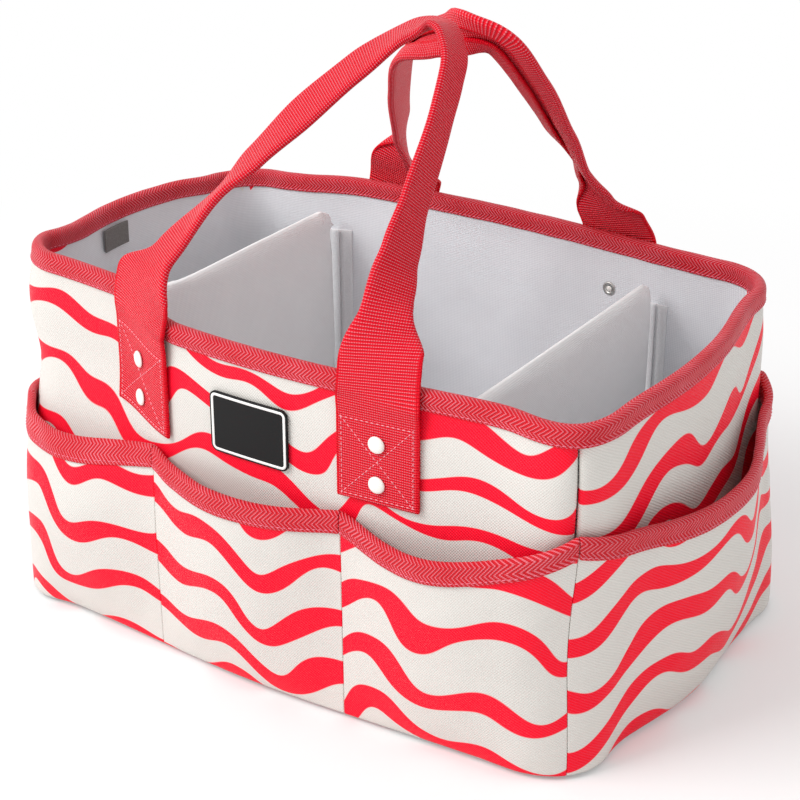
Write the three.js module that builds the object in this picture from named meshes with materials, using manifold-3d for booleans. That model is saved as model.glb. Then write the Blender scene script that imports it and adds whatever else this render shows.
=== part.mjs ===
// Diaper caddy: a foam-walled fabric box with outside pockets, two swinging webbing handles
// and two lift-out dividers. Millimetres, +Z up, front towards -Y, origin under the middle.
import * as THREE from "three";
import { mergeVertices } from "three/addons/utils/BufferGeometryUtils.js";
import Module from "manifold-3d";

const wasm = await Module();
wasm.setup();

// Box: the outside of the padded walls, without pockets
const bodyLength = 380;
const bodyWidth = 238;
const rimHeight = 205;
const cornerRadius = 36;
const wallThickness = 7;
const liningThickness = 1.5;
const baseThickness = 6;
const baseEdgeRound = 2;
const boardThickness = 3;
const sideBow = 8;
const endBow = 12;
const clearance = 0.3;

// Folded edge tape
const tapeThickness = 1.4;
const tapeEdgeRound = 1;
const rimTapeDrop = 12;
const pocketTapeDrop = 11;

// Pockets: a sewn-on sheet that swells between its seams and sags at its mouth
const pocketThickness = 2.2;
const pocketFoot = 2;
const cornerMouthHeight = 144;
const seamMouthDrop = 17;
const frontPocketSwell = 14;
const endPocketSwell = 16;
const leftPocketSag = 9;
const middlePocketSag = 3;
const rightPocketSag = 15;
const endPocketSag = 13;
const swellRiseShare = 0.62;
const swellFillShare = 0.6;
const swellRoundnessShare = 1.6;
const rowSpreadShare = 1.5;

// Handles: webbing sewn flat to the wall, folded and sewn into a narrow grip above it
const strapWidth = 48;
const strapThickness = 2.4;
const tabThickness = 2.6;
const tabDrop = 68;
const tabTopGap = 1;
const handleSpacing = 158;
const handleReach = 190;
const hingeAboveTab = 0.5;
const gripWidth = 25;
const gripThickness = 4.6;
const handleGap = 1.6;

// Rivets through the sewn end of a handle
const rivetCapDiameter = 9.5;
const rivetCapHeight = 2.2;
const rivetCapRim = 0.7;
const rivetShankDiameter = 3.4;
const rivetPitch = 23;
const rivetEdge = 12;
const rivetBackDiameter = 8.5;
const rivetBackThickness = 1;

// Name patch on the front wall, left bare
const patchWidth = 50;
const patchHeight = 36;
const patchThickness = 1.4;
const patchCorner = 4;
const patchBelowRim = 46;

// Dividers and the strips that hold them
const dividerThickness = 7;
const dividerBelowRim = 14;
const dividerCorner = 12;
const dividerEdgeRound = 1.5;
const dividerToStrap = 5;
const stripThickness = 1.2;
const hookStripWidth = 5;
const loopStripWidth = 20;
const loopStripAboveFloor = 40;
const loopStripBelowTape = 22;
const endStripLength = 24;
const endStripHeight = 14;
const endStripToFront = 8;

// How finely round and bowed stretches are faceted
const cornerSteps = 6;
const longSideSteps = 8;
const shortSideSteps = 10;
const pocketSteps = 8;
const pocketRows = 5;
const strapSteps = 60;
const roundSteps = 12;

const colours = {
  canvas: 0xe9e4de,
  tape: 0xd8102c,
  webbing: 0xe0183a,
  lining: 0xdfdfe0,
  board: 0x8d8f93,
  enamel: 0xf4f2ee,
  rubber: 0x17171a,
  strip: 0x4b4b50,
};

const caddy = new THREE.Group();

function addPiece(name, geometry, colour, roughness = 0.9, metalness = 0) {
  const material = new THREE.MeshStandardMaterial({ color: colour, roughness, metalness });
  const mesh = new THREE.Mesh(geometry, material);
  mesh.name = name;
  caddy.add(mesh);
  return mesh;
}

// Plan outline of the box: four bowed sides joined by round corners, run counter-clockwise.
// A place on it is a distance in millimetres from the left end of the front's straight stretch.
const longHalfRun = bodyLength / 2 - cornerRadius;
const shortHalfRun = bodyWidth / 2 - cornerRadius;
const cornerRun = (cornerRadius * Math.PI) / 2;
const sides = [
  { halfRun: longHalfRun, halfDepth: bodyWidth / 2, bow: sideBow, steps: longSideSteps },
  { halfRun: shortHalfRun, halfDepth: bodyLength / 2, bow: endBow, steps: shortSideSteps },
  { halfRun: longHalfRun, halfDepth: bodyWidth / 2, bow: sideBow, steps: longSideSteps },
  { halfRun: shortHalfRun, halfDepth: bodyLength / 2, bow: endBow, steps: shortSideSteps },
];
const [FRONT, RIGHT, BACK, LEFT] = sides;

let runSoFar = 0;
for (const side of sides) {
  side.start = runSoFar;
  runSoFar += 2 * side.halfRun + cornerRun;
}
const perimeter = runSoFar;

const sideMiddle = (side) => side.start + side.halfRun;
const cornerMiddle = (side) => side.start + 2 * side.halfRun + cornerRun / 2;
const bowAt = (side, along) => side.bow * (1 - (along / side.halfRun) ** 2) ** 2;

function outlineAt(place) {
  const run = ((place % perimeter) + perimeter) % perimeter;
  let index = sides.length - 1;
  while (sides[index].start > run) index -= 1;
  const side = sides[index];
  const along = run - side.start - side.halfRun;
  const point = new THREE.Vector3();
  const out = new THREE.Vector3(0, -1, 0);
  if (along <= side.halfRun) {
    const share = along / side.halfRun;
    point.set(along, -side.halfDepth - bowAt(side, along), 0);
    out.set((4 * side.bow * share * (1 - share * share)) / side.halfRun, -1, 0).normalize();
  } else {
    const angle = (along - side.halfRun) / cornerRadius;
    out.set(Math.sin(angle), -Math.cos(angle), 0);
    point.set(side.halfRun, cornerRadius - side.halfDepth, 0).addScaledVector(out, cornerRadius);
  }
  const quarterTurn = (index * Math.PI) / 2;
  const up = new THREE.Vector3(0, 0, 1);
  return { point: point.applyAxisAngle(up, quarterTurn), out: out.applyAxisAngle(up, quarterTurn) };
}

// A point at a distance out from the wall's outer face and at a height
function pointOn(place, distance, height) {
  const { point, out } = outlineAt(place);
  return point.addScaledVector(out, distance).setZ(height);
}

// Places between two ends of a run, with every corner and side faceted alike, and any wanted besides
function placesBetween(from, to, wanted = []) {
  const marks = [...wanted];
  for (let turn = -1; turn <= 1; turn += 1) {
    for (const side of sides) {
      const start = side.start + turn * perimeter;
      const sideRun = 2 * side.halfRun;
      for (let step = 0; step < side.steps; step += 1) marks.push(start + (sideRun * step) / side.steps);
      for (let step = 0; step < cornerSteps; step += 1) {
        marks.push(start + sideRun + (cornerRun * step) / cornerSteps);
      }
    }
  }
  const inside = marks.filter((mark) => mark > from + clearance && mark < to - clearance);
  inside.sort((a, b) => a - b);
  return [from, ...inside.filter((mark, i) => i === 0 || mark - inside[i - 1] > clearance), to];
}

// A closed solid from points and triangles, turned so that its faces point out
function closedGeometry(points, triangles) {
  let volume = 0;
  for (const [a, b, c] of triangles) {
    volume += points[a].dot(new THREE.Vector3().crossVectors(points[b], points[c]));
  }
  const faces = volume < 0 ? triangles.map(([a, b, c]) => [a, c, b]) : triangles;
  const geometry = new THREE.BufferGeometry().setFromPoints(points);
  geometry.setIndex(faces.flat());
  return geometry;
}

// Joins rows of points into a skin: each row is one section, and a loop joins the last to the first
function skinBetween(rows, loop) {
  const count = rows[0].length;
  const triangles = [];
  const joins = loop ? rows.length : rows.length - 1;
  for (let row = 0; row < joins; row += 1) {
    const next = (row + 1) % rows.length;
    for (let i = 0; i < count; i += 1) {
      const j = (i + 1) % count;
      const [a, b, c, d] = [row * count + i, row * count + j, next * count + j, next * count + i];
      triangles.push([a, b, c], [a, c, d]);
    }
  }
  return triangles;
}

// Sections carried along a run, closed by flat ends unless they loop
function sweep(sections, flatOutlines) {
  const points = sections.flat();
  const triangles = skinBetween(sections, !flatOutlines);
  if (flatOutlines) {
    const [first, last] = flatOutlines.map((outline) => THREE.ShapeUtils.triangulateShape(outline, []));
    const offset = points.length - sections[0].length;
    triangles.push(...first.map(([a, b, c]) => [a, c, b]));
    triangles.push(...last.map(([a, b, c]) => [a + offset, b + offset, c + offset]));
  }
  return closedGeometry(points, orientCaps(triangles, sections, flatOutlines));
}

// Flat ends are triangulated by their outline's own turn, so both are turned to match the skin
function orientCaps(triangles, sections, flatOutlines) {
  if (!flatOutlines || !THREE.ShapeUtils.isClockWise(flatOutlines[0])) return triangles;
  const skinCount = 2 * sections[0].length * (sections.length - 1);
  return triangles.map((face, i) => (i < skinCount ? face : [face[0], face[2], face[1]]));
}

// A profile of [distance out, height] pairs carried along part of the outline
function sweepAlong(places, profileAt) {
  const profiles = places.map(profileAt);
  const sections = places.map((place, i) => profiles[i].map(([out, up]) => pointOn(place, out, up)));
  const ends = [profiles[0], profiles[profiles.length - 1]];
  const flat = ends.map((profile) => profile.map(([out, up]) => new THREE.Vector2(out, up)));
  return sweep(sections, flat);
}

// Rings of the whole outline, each at [distance out, height], closed by a floor at both ends
function stackRings(rings) {
  const places = placesBetween(0, perimeter).slice(0, -1);
  const rows = rings.map(([out, up]) => places.map((place) => pointOn(place, out, up)));
  const triangles = skinBetween(rows, false);
  const points = rows.flat();
  for (const [row, flip] of [[0, true], [rows.length - 1, false]]) {
    const centre = points.length;
    points.push(new THREE.Vector3(0, 0, rings[row][1]));
    for (let i = 0; i < places.length; i += 1) {
      const [a, b] = [row * places.length + i, row * places.length + ((i + 1) % places.length)];
      triangles.push(flip ? [centre, b, a] : [centre, a, b]);
    }
  }
  return closedGeometry(points, triangles);
}

function toSolid(geometry) {
  const bare = geometry.clone();
  bare.deleteAttribute("normal");
  bare.deleteAttribute("uv");
  const merged = mergeVertices(bare);
  const vertProperties = new Float32Array(merged.attributes.position.array);
  const triVerts = new Uint32Array(merged.index.array);
  return new wasm.Manifold(new wasm.Mesh({ numProp: 3, vertProperties, triVerts }));
}

function fromSolid(solid) {
  const mesh = solid.getMesh();
  const geometry = new THREE.BufferGeometry();
  geometry.setAttribute("position", new THREE.BufferAttribute(mesh.vertProperties, 3));
  geometry.setIndex(new THREE.BufferAttribute(mesh.triVerts, 1));
  return geometry;
}

function cutAway(geometry, tools) {
  return fromSolid(tools.reduce((solid, tool) => solid.subtract(toSolid(tool)), toSolid(geometry)));
}

// Heights and distances that several pieces share
const seamMouthHeight = cornerMouthHeight - seamMouthDrop;
const wallFoot = baseThickness + clearance;
const wallTop = rimHeight - tapeThickness - clearance;
const boardTop = wallFoot + boardThickness;
const liningFace = wallThickness + clearance;
const liningInside = liningFace + liningThickness;
const floorTop = boardTop + clearance + liningThickness;
const tapeOutside = clearance + tapeThickness;
const tapeInside = liningInside + clearance + tapeThickness;
const tabLower = clearance + tabThickness;
const tabUpper = tapeOutside + clearance + tabThickness;
const tabFoot = rimHeight - tabDrop;

// Rivets: two to each sewn handle end, one above the other
const rivets = [];
for (const [sideName, side] of [["front", FRONT], ["back", BACK]]) {
  for (const hand of [-1, 1]) {
    const along = (side === FRONT ? hand : -hand) * (handleSpacing / 2);
    for (const [level, row] of [["lower", 0], ["upper", 1]]) {
      rivets.push({
        name: `${sideName}_${hand < 0 ? "left" : "right"}_${level}`,
        side,
        place: sideMiddle(side) + along,
        height: tabFoot + rivetEdge + row * rivetPitch,
      });
    }
  }
}

// Turns a shape made round Y, pointing up, to stand out from the wall at a rivet
function setAtRivet(geometry, rivet, distance) {
  const { out } = outlineAt(rivet.place);
  const turn = new THREE.Quaternion().setFromUnitVectors(new THREE.Vector3(0, 1, 0), out);
  const { x, y, z } = pointOn(rivet.place, distance, rivet.height);
  return geometry.applyQuaternion(turn).translate(x, y, z);
}

function rivetHole(rivet) {
  const radius = rivetShankDiameter / 2 + clearance;
  const depth = 2 * (liningInside + tabUpper);
  return setAtRivet(new THREE.CylinderGeometry(radius, radius, depth, roundSteps), rivet, 0);
}

const holesIn = (wanted) => rivets.filter(wanted).map(rivetHole);

function makeBase() {
  addPiece("base_panel", stackRings([
    [-baseEdgeRound, 0],
    [0, baseEdgeRound],
    [0, baseThickness],
  ]), colours.canvas);
  addPiece("base_board", stackRings([
    [-liningFace, wallFoot],
    [-liningFace, boardTop],
  ]), colours.board, 0.7);
}

function makeWalls() {
  const cornerGap = (clearance / 2) * (cornerRadius / (cornerRadius - wallThickness));
  const section = () => [
    [-wallThickness, wallFoot],
    [0, wallFoot],
    [0, wallTop],
    [-wallThickness, wallTop],
  ];
  for (const [name, side] of [["front", FRONT], ["right", RIGHT], ["back", BACK], ["left", LEFT]]) {
    const from = side.start - cornerRun / 2 + cornerGap;
    const panel = sweepAlong(placesBetween(from, cornerMiddle(side) - cornerGap), section);
    const holes = holesIn((rivet) => rivet.side === side);
    addPiece(`${name}_wall`, holes.length ? cutAway(panel, holes) : panel, colours.canvas);
  }
}

function makeLining() {
  const tub = stackRings([
    [-liningFace, boardTop + clearance],
    [-liningFace, wallTop],
    [-liningInside, wallTop],
    [-liningInside, floorTop],
  ]);
  addPiece("lining", cutAway(tub, holesIn(() => true)), colours.lining);
}

// Tape folded over the top of the walls and the lining, sewn in one loop
function makeRimBinding() {
  const hem = rimHeight - rimTapeDrop;
  const inner = -liningInside - clearance;
  const section = [
    [clearance, hem],
    [tapeOutside, hem],
    [tapeOutside, rimHeight - tapeEdgeRound],
    [tapeOutside - tapeEdgeRound, rimHeight],
    [tapeEdgeRound - tapeInside, rimHeight],
    [-tapeInside, rimHeight - tapeEdgeRound],
    [-tapeInside, hem],
    [inner, hem],
    [inner, rimHeight - tapeThickness],
    [clearance, rimHeight - tapeThickness],
  ];
  const places = placesBetween(0, perimeter).slice(0, -1);
  const sections = places.map((place) => section.map(([out, up]) => pointOn(place, out, up)));
  addPiece("rim_binding", sweep(sections, null), colours.tape);
}

// One pocket: where its sheet's inner face lies at a share across and a share up
class Pocket {
  constructor(name, from, to, mouths, swell, sag) {
    Object.assign(this, { name, from, to, mouths, swell, sag });
  }

  mouthAt(across) {
    const [first, last] = this.mouths;
    return first + (last - first) * across - 4 * this.sag * across * (1 - across);
  }

  faceAt(across, up) {
    const betweenSeams = (1 - (2 * across - 1) ** 2) ** swellRoundnessShare;
    const risen = Math.sin(Math.PI * swellRiseShare * up) ** swellFillShare;
    const sewnStand = clearance + (tapeThickness + clearance) * up;
    return sewnStand + this.swell * betweenSeams * risen;
  }

  // Places crowded towards the seams, where the sheet bends most
  crowdedPlaces() {
    const steps = Array.from({ length: pocketSteps - 1 }, (_, i) => (i + 1) / pocketSteps);
    const half = (this.to - this.from) / 2;
    return steps.map((share) => this.from + half * (1 - Math.cos(Math.PI * share)));
  }

  upAtTapeHem(across) {
    return 1 - pocketTapeDrop / (this.mouthAt(across) - pocketFoot);
  }

  heightAt(across, up) {
    return pocketFoot + (this.mouthAt(across) - pocketFoot) * up;
  }

  sheetProfile(across) {
    const hem = this.upAtTapeHem(across);
    const rows = Array.from({ length: pocketRows }, (_, row) => row / (pocketRows - 1));
    const ups = rows.map((row) => hem * row ** rowSpreadShare);
    ups.push(1);
    const inner = ups.map((up) => [this.faceAt(across, up), this.heightAt(across, up)]);
    const outer = inner.map(([out, up]) => [out + pocketThickness, up]);
    return [...inner, ...outer.reverse()];
  }

  tapeProfile(across) {
    const hem = this.upAtTapeHem(across);
    const low = this.faceAt(across, hem);
    const high = this.faceAt(across, 1);
    const hemHeight = this.heightAt(across, hem);
    const mouth = this.heightAt(across, 1) + clearance;
    const outerLeg = pocketThickness + clearance;
    return [
      [low + outerLeg, hemHeight],
      [low + outerLeg + tapeThickness, hemHeight],
      [high + outerLeg + tapeThickness, mouth + tapeThickness - tapeEdgeRound],
      [high + outerLeg + tapeThickness - tapeEdgeRound, mouth + tapeThickness],
      [high - clearance - tapeThickness + tapeEdgeRound, mouth + tapeThickness],
      [high - clearance - tapeThickness, mouth + tapeThickness - tapeEdgeRound],
      [low - clearance - tapeThickness, hemHeight],
      [low - clearance, hemHeight],
      [high - clearance, mouth],
      [high + outerLeg, mouth],
    ];
  }

  build() {
    const shareOf = (place) => (place - this.from) / (this.to - this.from);
    const places = placesBetween(this.from, this.to, this.crowdedPlaces());
    const sheet = sweepAlong(places, (place) => this.sheetProfile(shareOf(place)));
    const tape = sweepAlong(places, (place) => this.tapeProfile(shareOf(place)));
    addPiece(`${this.name}_pocket`, sheet, colours.canvas);
    addPiece(`${this.name}_pocket_binding`, tape, colours.tape);
  }
}

function makePockets() {
  const panelGap = clearance;
  for (const [name, side] of [["front", FRONT], ["back", BACK]]) {
    const from = side.start - cornerRun / 2;
    const third = (cornerMiddle(side) - from) / 3;
    const edges = [from, from + third, from + 2 * third, from + 3 * third];
    const mouths = [cornerMouthHeight, seamMouthHeight, seamMouthHeight, cornerMouthHeight];
    const sags = { left: leftPocketSag, middle: middlePocketSag, right: rightPocketSag };
    const names = side === FRONT ? ["left", "middle", "right"] : ["right", "middle", "left"];
    names.forEach((part, i) => {
      new Pocket(`${name}_${part}`, edges[i] + panelGap, edges[i + 1] - panelGap,
        [mouths[i], mouths[i + 1]], frontPocketSwell, sags[part]).build();
    });
  }
  for (const [name, side] of [["right", RIGHT], ["left", LEFT]]) {
    const from = side.start - cornerRun / 2;
    new Pocket(`${name}_end`, from + panelGap, cornerMiddle(side) - panelGap,
      [cornerMouthHeight, cornerMouthHeight], endPocketSwell, endPocketSag).build();
  }
}

// The sewn end of a handle lies on the wall and steps out over the rim tape
function makeHandleTabs() {
  const tapeHem = rimHeight - rimTapeDrop;
  const stepTop = tapeHem - 2 * clearance;
  const stepFoot = stepTop - tabThickness;
  const top = rimHeight - tabTopGap;
  const section = () => [
    [clearance, tabFoot],
    [tabLower, tabFoot],
    [tabLower, stepFoot],
    [tabUpper, stepTop],
    [tabUpper, top],
    [tabUpper - tabThickness, top],
    [tabUpper - tabThickness, stepTop],
    [clearance, stepFoot],
  ];
  for (const [sideName, side] of [["front", FRONT], ["back", BACK]]) {
    for (const hand of [-1, 1]) {
      const middle = sideMiddle(side) + (side === FRONT ? hand : -hand) * (handleSpacing / 2);
      const tab = sweepAlong(placesBetween(middle - strapWidth / 2, middle + strapWidth / 2), section);
      const holes = holesIn((rivet) => rivet.side === side && rivet.place === middle);
      addPiece(`${sideName}_handle_tab_${hand < 0 ? "left" : "right"}`, cutAway(tab, holes), colours.webbing);
    }
  }
}

// Where a handle swings, and how far it leans in before it meets the other one
const hingeOut = tabUpper + strapThickness / 2 + 2 * clearance;
const hingeY = bodyWidth / 2 + bowAt(FRONT, (handleSpacing - strapWidth) / 2) + hingeOut;
const hingeZ = rimHeight - tabTopGap + hingeAboveTab;
const lean = Math.asin((hingeY - (gripWidth + handleGap) / 2) / handleReach);

// How each handle lies. The route is its middle line in its own plane, as shares of half the spacing
// and of the reach: the grips fall together right of the middle, so one leg lies low and the other
// stands steep. The turn about that line is [share of its length, share of a right angle], and the
// edges fold in to the grip's width over shares of its length, counted from either end.
const frontHandleShares = {
  route: [
    [-1, 0], [-0.96, 0.1], [-0.79, 0.28], [-0.36, 0.6], [0.1, 0.87], [0.36, 0.975],
    [0.55, 1], [0.73, 0.93], [0.82, 0.74], [0.86, 0.48], [0.94, 0.17], [1, 0],
  ],
  turn: [
    [0, 0], [0.06, 0], [0.19, -0.64], [0.34, -0.36], [0.48, -0.64], [0.58, -1.1],
    [0.68, -1], [0.77, -0.8], [0.83, -0.6], [0.92, -0.12], [0.96, 0], [1, 0],
  ],
  foldLeft: [0.03, 0.1],
  foldRight: [0.03, 0.1],
};
const backHandleShares = {
  route: [
    [-1, 0], [-0.93, 0.1], [-0.66, 0.31], [-0.38, 0.59], [-0.14, 0.78], [0.2, 0.885],
    [0.5, 0.95], [0.69, 0.92], [0.8, 0.74], [0.86, 0.48], [0.94, 0.17], [1, 0],
  ],
  turn: [
    [0, 0], [0.07, 0], [0.25, -0.55], [0.34, -0.98], [0.5, -1], [0.7, -1],
    [0.78, -0.75], [0.87, 0.25], [0.94, 0], [1, 0],
  ],
  foldLeft: [0.04, 0.2],
  foldRight: [0.03, 0.13],
};

function easedAlong(shareTable, share) {
  const next = Math.max(1, shareTable.findIndex(([at]) => at >= share));
  const [from, before] = shareTable[next - 1];
  const [to, after] = shareTable[next];
  return THREE.MathUtils.lerp(before, after, THREE.MathUtils.smoothstep(share, from, to));
}

function makeHandle(name, facing, { route: routeShares, turn: turnShares, foldLeft, foldRight }) {
  const lift = new THREE.Vector3(0, -facing * Math.sin(lean), Math.cos(lean));
  const outward = new THREE.Vector3(0, facing * Math.cos(lean), Math.sin(lean));
  const across = new THREE.Vector3(1, 0, 0);
  const hinge = new THREE.Vector3(0, facing * hingeY, hingeZ);
  const route = new THREE.CatmullRomCurve3(routeShares.map(([sideways, up]) => hinge.clone()
    .addScaledVector(across, (sideways * handleSpacing) / 2)
    .addScaledVector(lift, up * handleReach)), false, "centripetal");
  const ease = ([from, to], share) => THREE.MathUtils.smoothstep(share, from, to);
  const sections = [];
  const outlines = [];
  for (let step = 0; step <= strapSteps; step += 1) {
    const share = step / strapSteps;
    const fold = Math.min(ease(foldLeft, share), ease(foldRight, 1 - share));
    const turn = (Math.PI / 2) * easedAlong(turnShares, share);
    const width = THREE.MathUtils.lerp(strapWidth, gripWidth, fold);
    const thickness = THREE.MathUtils.lerp(strapThickness, gripThickness, fold);
    const tangent = step === 0 || step === strapSteps ? lift.clone() : route.getTangentAt(share);
    if (step === strapSteps) tangent.negate();
    const inPlane = new THREE.Vector3().crossVectors(outward, tangent).normalize();
    const wide = inPlane.clone().multiplyScalar(Math.cos(turn)).addScaledVector(outward, Math.sin(turn));
    const thick = new THREE.Vector3().crossVectors(tangent, wide).normalize();
    const corner = thickness / 4;
    const outline = [
      [width / 2, corner - thickness / 2], [width / 2, thickness / 2 - corner],
      [width / 2 - corner, thickness / 2], [corner - width / 2, thickness / 2],
      [-width / 2, thickness / 2 - corner], [-width / 2, corner - thickness / 2],
      [corner - width / 2, -thickness / 2], [width / 2 - corner, -thickness / 2],
    ];
    const centre = route.getPointAt(share);
    sections.push(outline.map(([w, t]) => centre.clone().addScaledVector(wide, w).addScaledVector(thick, t)));
    outlines.push(outline.map(([w, t]) => new THREE.Vector2(w, t)));
  }
  addPiece(name, sweep(sections, [outlines[0], outlines[strapSteps]]), colours.webbing);
}

function makeRivets() {
  const shank = rivetShankDiameter / 2;
  const cap = rivetCapDiameter / 2;
  const tail = liningInside + clearance + rivetBackThickness;
  const seat = tabLower + clearance;
  const dome = [0.35, 0.7, 0.92].map((share) => {
    const rise = rivetCapRim + (rivetCapHeight - rivetCapRim) * share;
    return new THREE.Vector2(cap * Math.sqrt(1 - share * share), seat + rise);
  });
  for (const rivet of rivets) {
    const profile = [
      new THREE.Vector2(0, -tail),
      new THREE.Vector2(shank, -tail),
      new THREE.Vector2(shank, seat),
      new THREE.Vector2(cap, seat),
      new THREE.Vector2(cap, seat + rivetCapRim),
      ...dome,
      new THREE.Vector2(0, seat + rivetCapHeight),
    ];
    const body = setAtRivet(new THREE.LatheGeometry(profile, roundSteps), rivet, 0);
    addPiece(`${rivet.name}_rivet`, body, colours.enamel, 0.35, 0.2);
    const hole = shank + clearance;
    const ring = [
      new THREE.Vector2(hole, -tail),
      new THREE.Vector2(rivetBackDiameter / 2, -tail),
      new THREE.Vector2(rivetBackDiameter / 2, rivetBackThickness - tail),
      new THREE.Vector2(hole, rivetBackThickness - tail),
      new THREE.Vector2(hole, -tail),
    ];
    const back = setAtRivet(new THREE.LatheGeometry(ring, roundSteps), rivet, 0);
    addPiece(`${rivet.name}_rivet_back`, back, colours.enamel, 0.35, 0.6);
  }
}

function roundedShape(width, height, radius) {
  const [x, y] = [width / 2 - radius, height / 2 - radius];
  const shape = new THREE.Shape();
  shape.absarc(x, y, radius, 0, Math.PI / 2);
  shape.absarc(-x, y, radius, Math.PI / 2, Math.PI);
  shape.absarc(-x, -y, radius, Math.PI, (3 * Math.PI) / 2);
  shape.absarc(x, -y, radius, (3 * Math.PI) / 2, 2 * Math.PI);
  return shape;
}

function makePatch() {
  const shape = roundedShape(patchWidth, patchHeight, patchCorner);
  const plate = new THREE.ExtrudeGeometry(shape, {
    depth: patchThickness, bevelEnabled: false, curveSegments: cornerSteps,
  });
  plate.rotateX(Math.PI / 2);
  plate.translate(0, -bodyWidth / 2 - sideBow - clearance, rimHeight - patchBelowRim);
  addPiece("name_patch", plate, colours.rubber, 0.6);
}

// Dividers stand just outside the handles, so they lift out past them
const dividerX = (handleSpacing + strapWidth + dividerThickness) / 2 + dividerToStrap;
const dividerFoot = floorTop + clearance;
const dividerTop = rimHeight - dividerBelowRim;
const liningHalfWidth = bodyWidth / 2 + bowAt(FRONT, dividerX) - liningInside;
const dividerHalfSpan = liningHalfWidth - 2 * (stripThickness + 2 * clearance);
const stripFoot = floorTop + loopStripAboveFloor;
const loopStripHeight = rimHeight - rimTapeDrop - loopStripBelowTape - stripFoot;

function makeDividers() {
  const half = dividerHalfSpan;
  const shape = new THREE.Shape();
  shape.moveTo(-half, dividerFoot);
  shape.lineTo(half, dividerFoot);
  shape.absarc(half - dividerCorner, dividerTop - dividerCorner, dividerCorner, 0, Math.PI / 2);
  shape.absarc(dividerCorner - half, dividerTop - dividerCorner, dividerCorner, Math.PI / 2, Math.PI);
  for (const [name, hand] of [["left", -1], ["right", 1]]) {
    const panel = new THREE.ExtrudeGeometry(shape, {
      depth: dividerThickness - 2 * dividerEdgeRound,
      bevelThickness: dividerEdgeRound,
      bevelSize: dividerEdgeRound,
      bevelOffset: -dividerEdgeRound,
      bevelSegments: 1,
      curveSegments: cornerSteps / 2,
    });
    panel.translate(0, 0, dividerEdgeRound - dividerThickness / 2);
    panel.applyMatrix4(new THREE.Matrix4().makeBasis(
      new THREE.Vector3(0, 1, 0), new THREE.Vector3(0, 0, 1), new THREE.Vector3(1, 0, 0)));
    panel.translate(hand * dividerX, 0, 0);
    addPiece(`${name}_divider`, panel, colours.lining);
    for (const [end, sign] of [["front", -1], ["back", 1]]) {
      const hook = new THREE.BoxGeometry(hookStripWidth, stripThickness, loopStripHeight);
      const y = sign * (half + clearance + stripThickness / 2);
      hook.translate(hand * dividerX, y, stripFoot + loopStripHeight / 2);
      addPiece(`${name}_divider_hook_strip_${end}`, hook, colours.strip, 1);
    }
  }
}

function stripOnLining(name, place, length, foot, height) {
  const face = -liningInside - clearance;
  const section = () => [
    [face - stripThickness, foot],
    [face, foot],
    [face, foot + height],
    [face - stripThickness, foot + height],
  ];
  addPiece(name, sweepAlong(placesBetween(place - length / 2, place + length / 2), section), colours.strip, 1);
}

function makeLoopStrips() {
  for (const [handName, hand] of [["left", -1], ["right", 1]]) {
    const frontPlace = sideMiddle(FRONT) + hand * dividerX;
    const backPlace = sideMiddle(BACK) - hand * dividerX;
    stripOnLining(`${handName}_loop_strip_front`, frontPlace, loopStripWidth, stripFoot, loopStripHeight);
    stripOnLining(`${handName}_loop_strip_back`, backPlace, loopStripWidth, stripFoot, loopStripHeight);
  }
  const endFoot = rimHeight - rimTapeDrop - clearance - endStripHeight;
  const endPlace = sideMiddle(LEFT) + endStripToFront;
  stripOnLining("left_end_loop_strip", endPlace, endStripLength, endFoot, endStripHeight);
}

makeBase();
makeWalls();
makeLining();
makeRimBinding();
makePockets();
makeHandleTabs();
makeHandle("front_handle", -1, frontHandleShares);
makeHandle("back_handle", 1, backHandleShares);
makeRivets();
makePatch();
makeDividers();
makeLoopStrips();

export default caddy;
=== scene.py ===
"""Padded fabric caddy: a printed canvas tub with taped pockets, two swinging straps and two dividers.

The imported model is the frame. Each of its soft solids is replaced by a sewn piece in the same place.
Fields hold millimetres, with +Z up and the front towards -Y; meshes are in metres.
"""

import logging
import math
from collections.abc import Callable, Iterable, Sequence
from dataclasses import dataclass, field
from enum import Enum
from typing import Any

import bmesh
import bpy
from mathutils import Matrix, Vector, noise


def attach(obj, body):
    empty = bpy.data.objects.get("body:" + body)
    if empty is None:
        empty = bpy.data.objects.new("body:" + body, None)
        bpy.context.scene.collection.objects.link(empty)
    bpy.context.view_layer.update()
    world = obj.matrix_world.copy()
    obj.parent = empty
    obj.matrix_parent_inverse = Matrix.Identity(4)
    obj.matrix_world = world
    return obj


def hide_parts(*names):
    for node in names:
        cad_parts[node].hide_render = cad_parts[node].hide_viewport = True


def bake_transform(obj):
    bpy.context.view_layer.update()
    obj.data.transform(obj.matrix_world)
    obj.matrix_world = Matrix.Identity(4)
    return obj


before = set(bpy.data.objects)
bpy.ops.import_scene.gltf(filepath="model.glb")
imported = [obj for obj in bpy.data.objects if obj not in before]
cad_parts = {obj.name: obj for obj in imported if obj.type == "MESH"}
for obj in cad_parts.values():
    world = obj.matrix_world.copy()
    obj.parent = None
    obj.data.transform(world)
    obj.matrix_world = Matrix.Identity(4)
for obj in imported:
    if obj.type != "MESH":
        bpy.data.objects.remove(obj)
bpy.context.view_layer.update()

LOG = logging.getLogger("caddy")
MM = 0.001
CLOTH_UV = "cloth"
Surface = Callable[[float, float], Vector]
Flat = Callable[[float, float], tuple[float, float]]


# Small tools


def ease(low: float, high: float, value: float) -> float:
    """Smooth step from 0 at low to 1 at high; low may be the larger."""
    share = min(max((value - low) / (high - low), 0.0), 1.0)
    return share * share * (3 - 2 * share)


def mix(first: float, last: float, share: float) -> float:
    """Value at a share of the way from first to last."""
    return first + (last - first) * share


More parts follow.
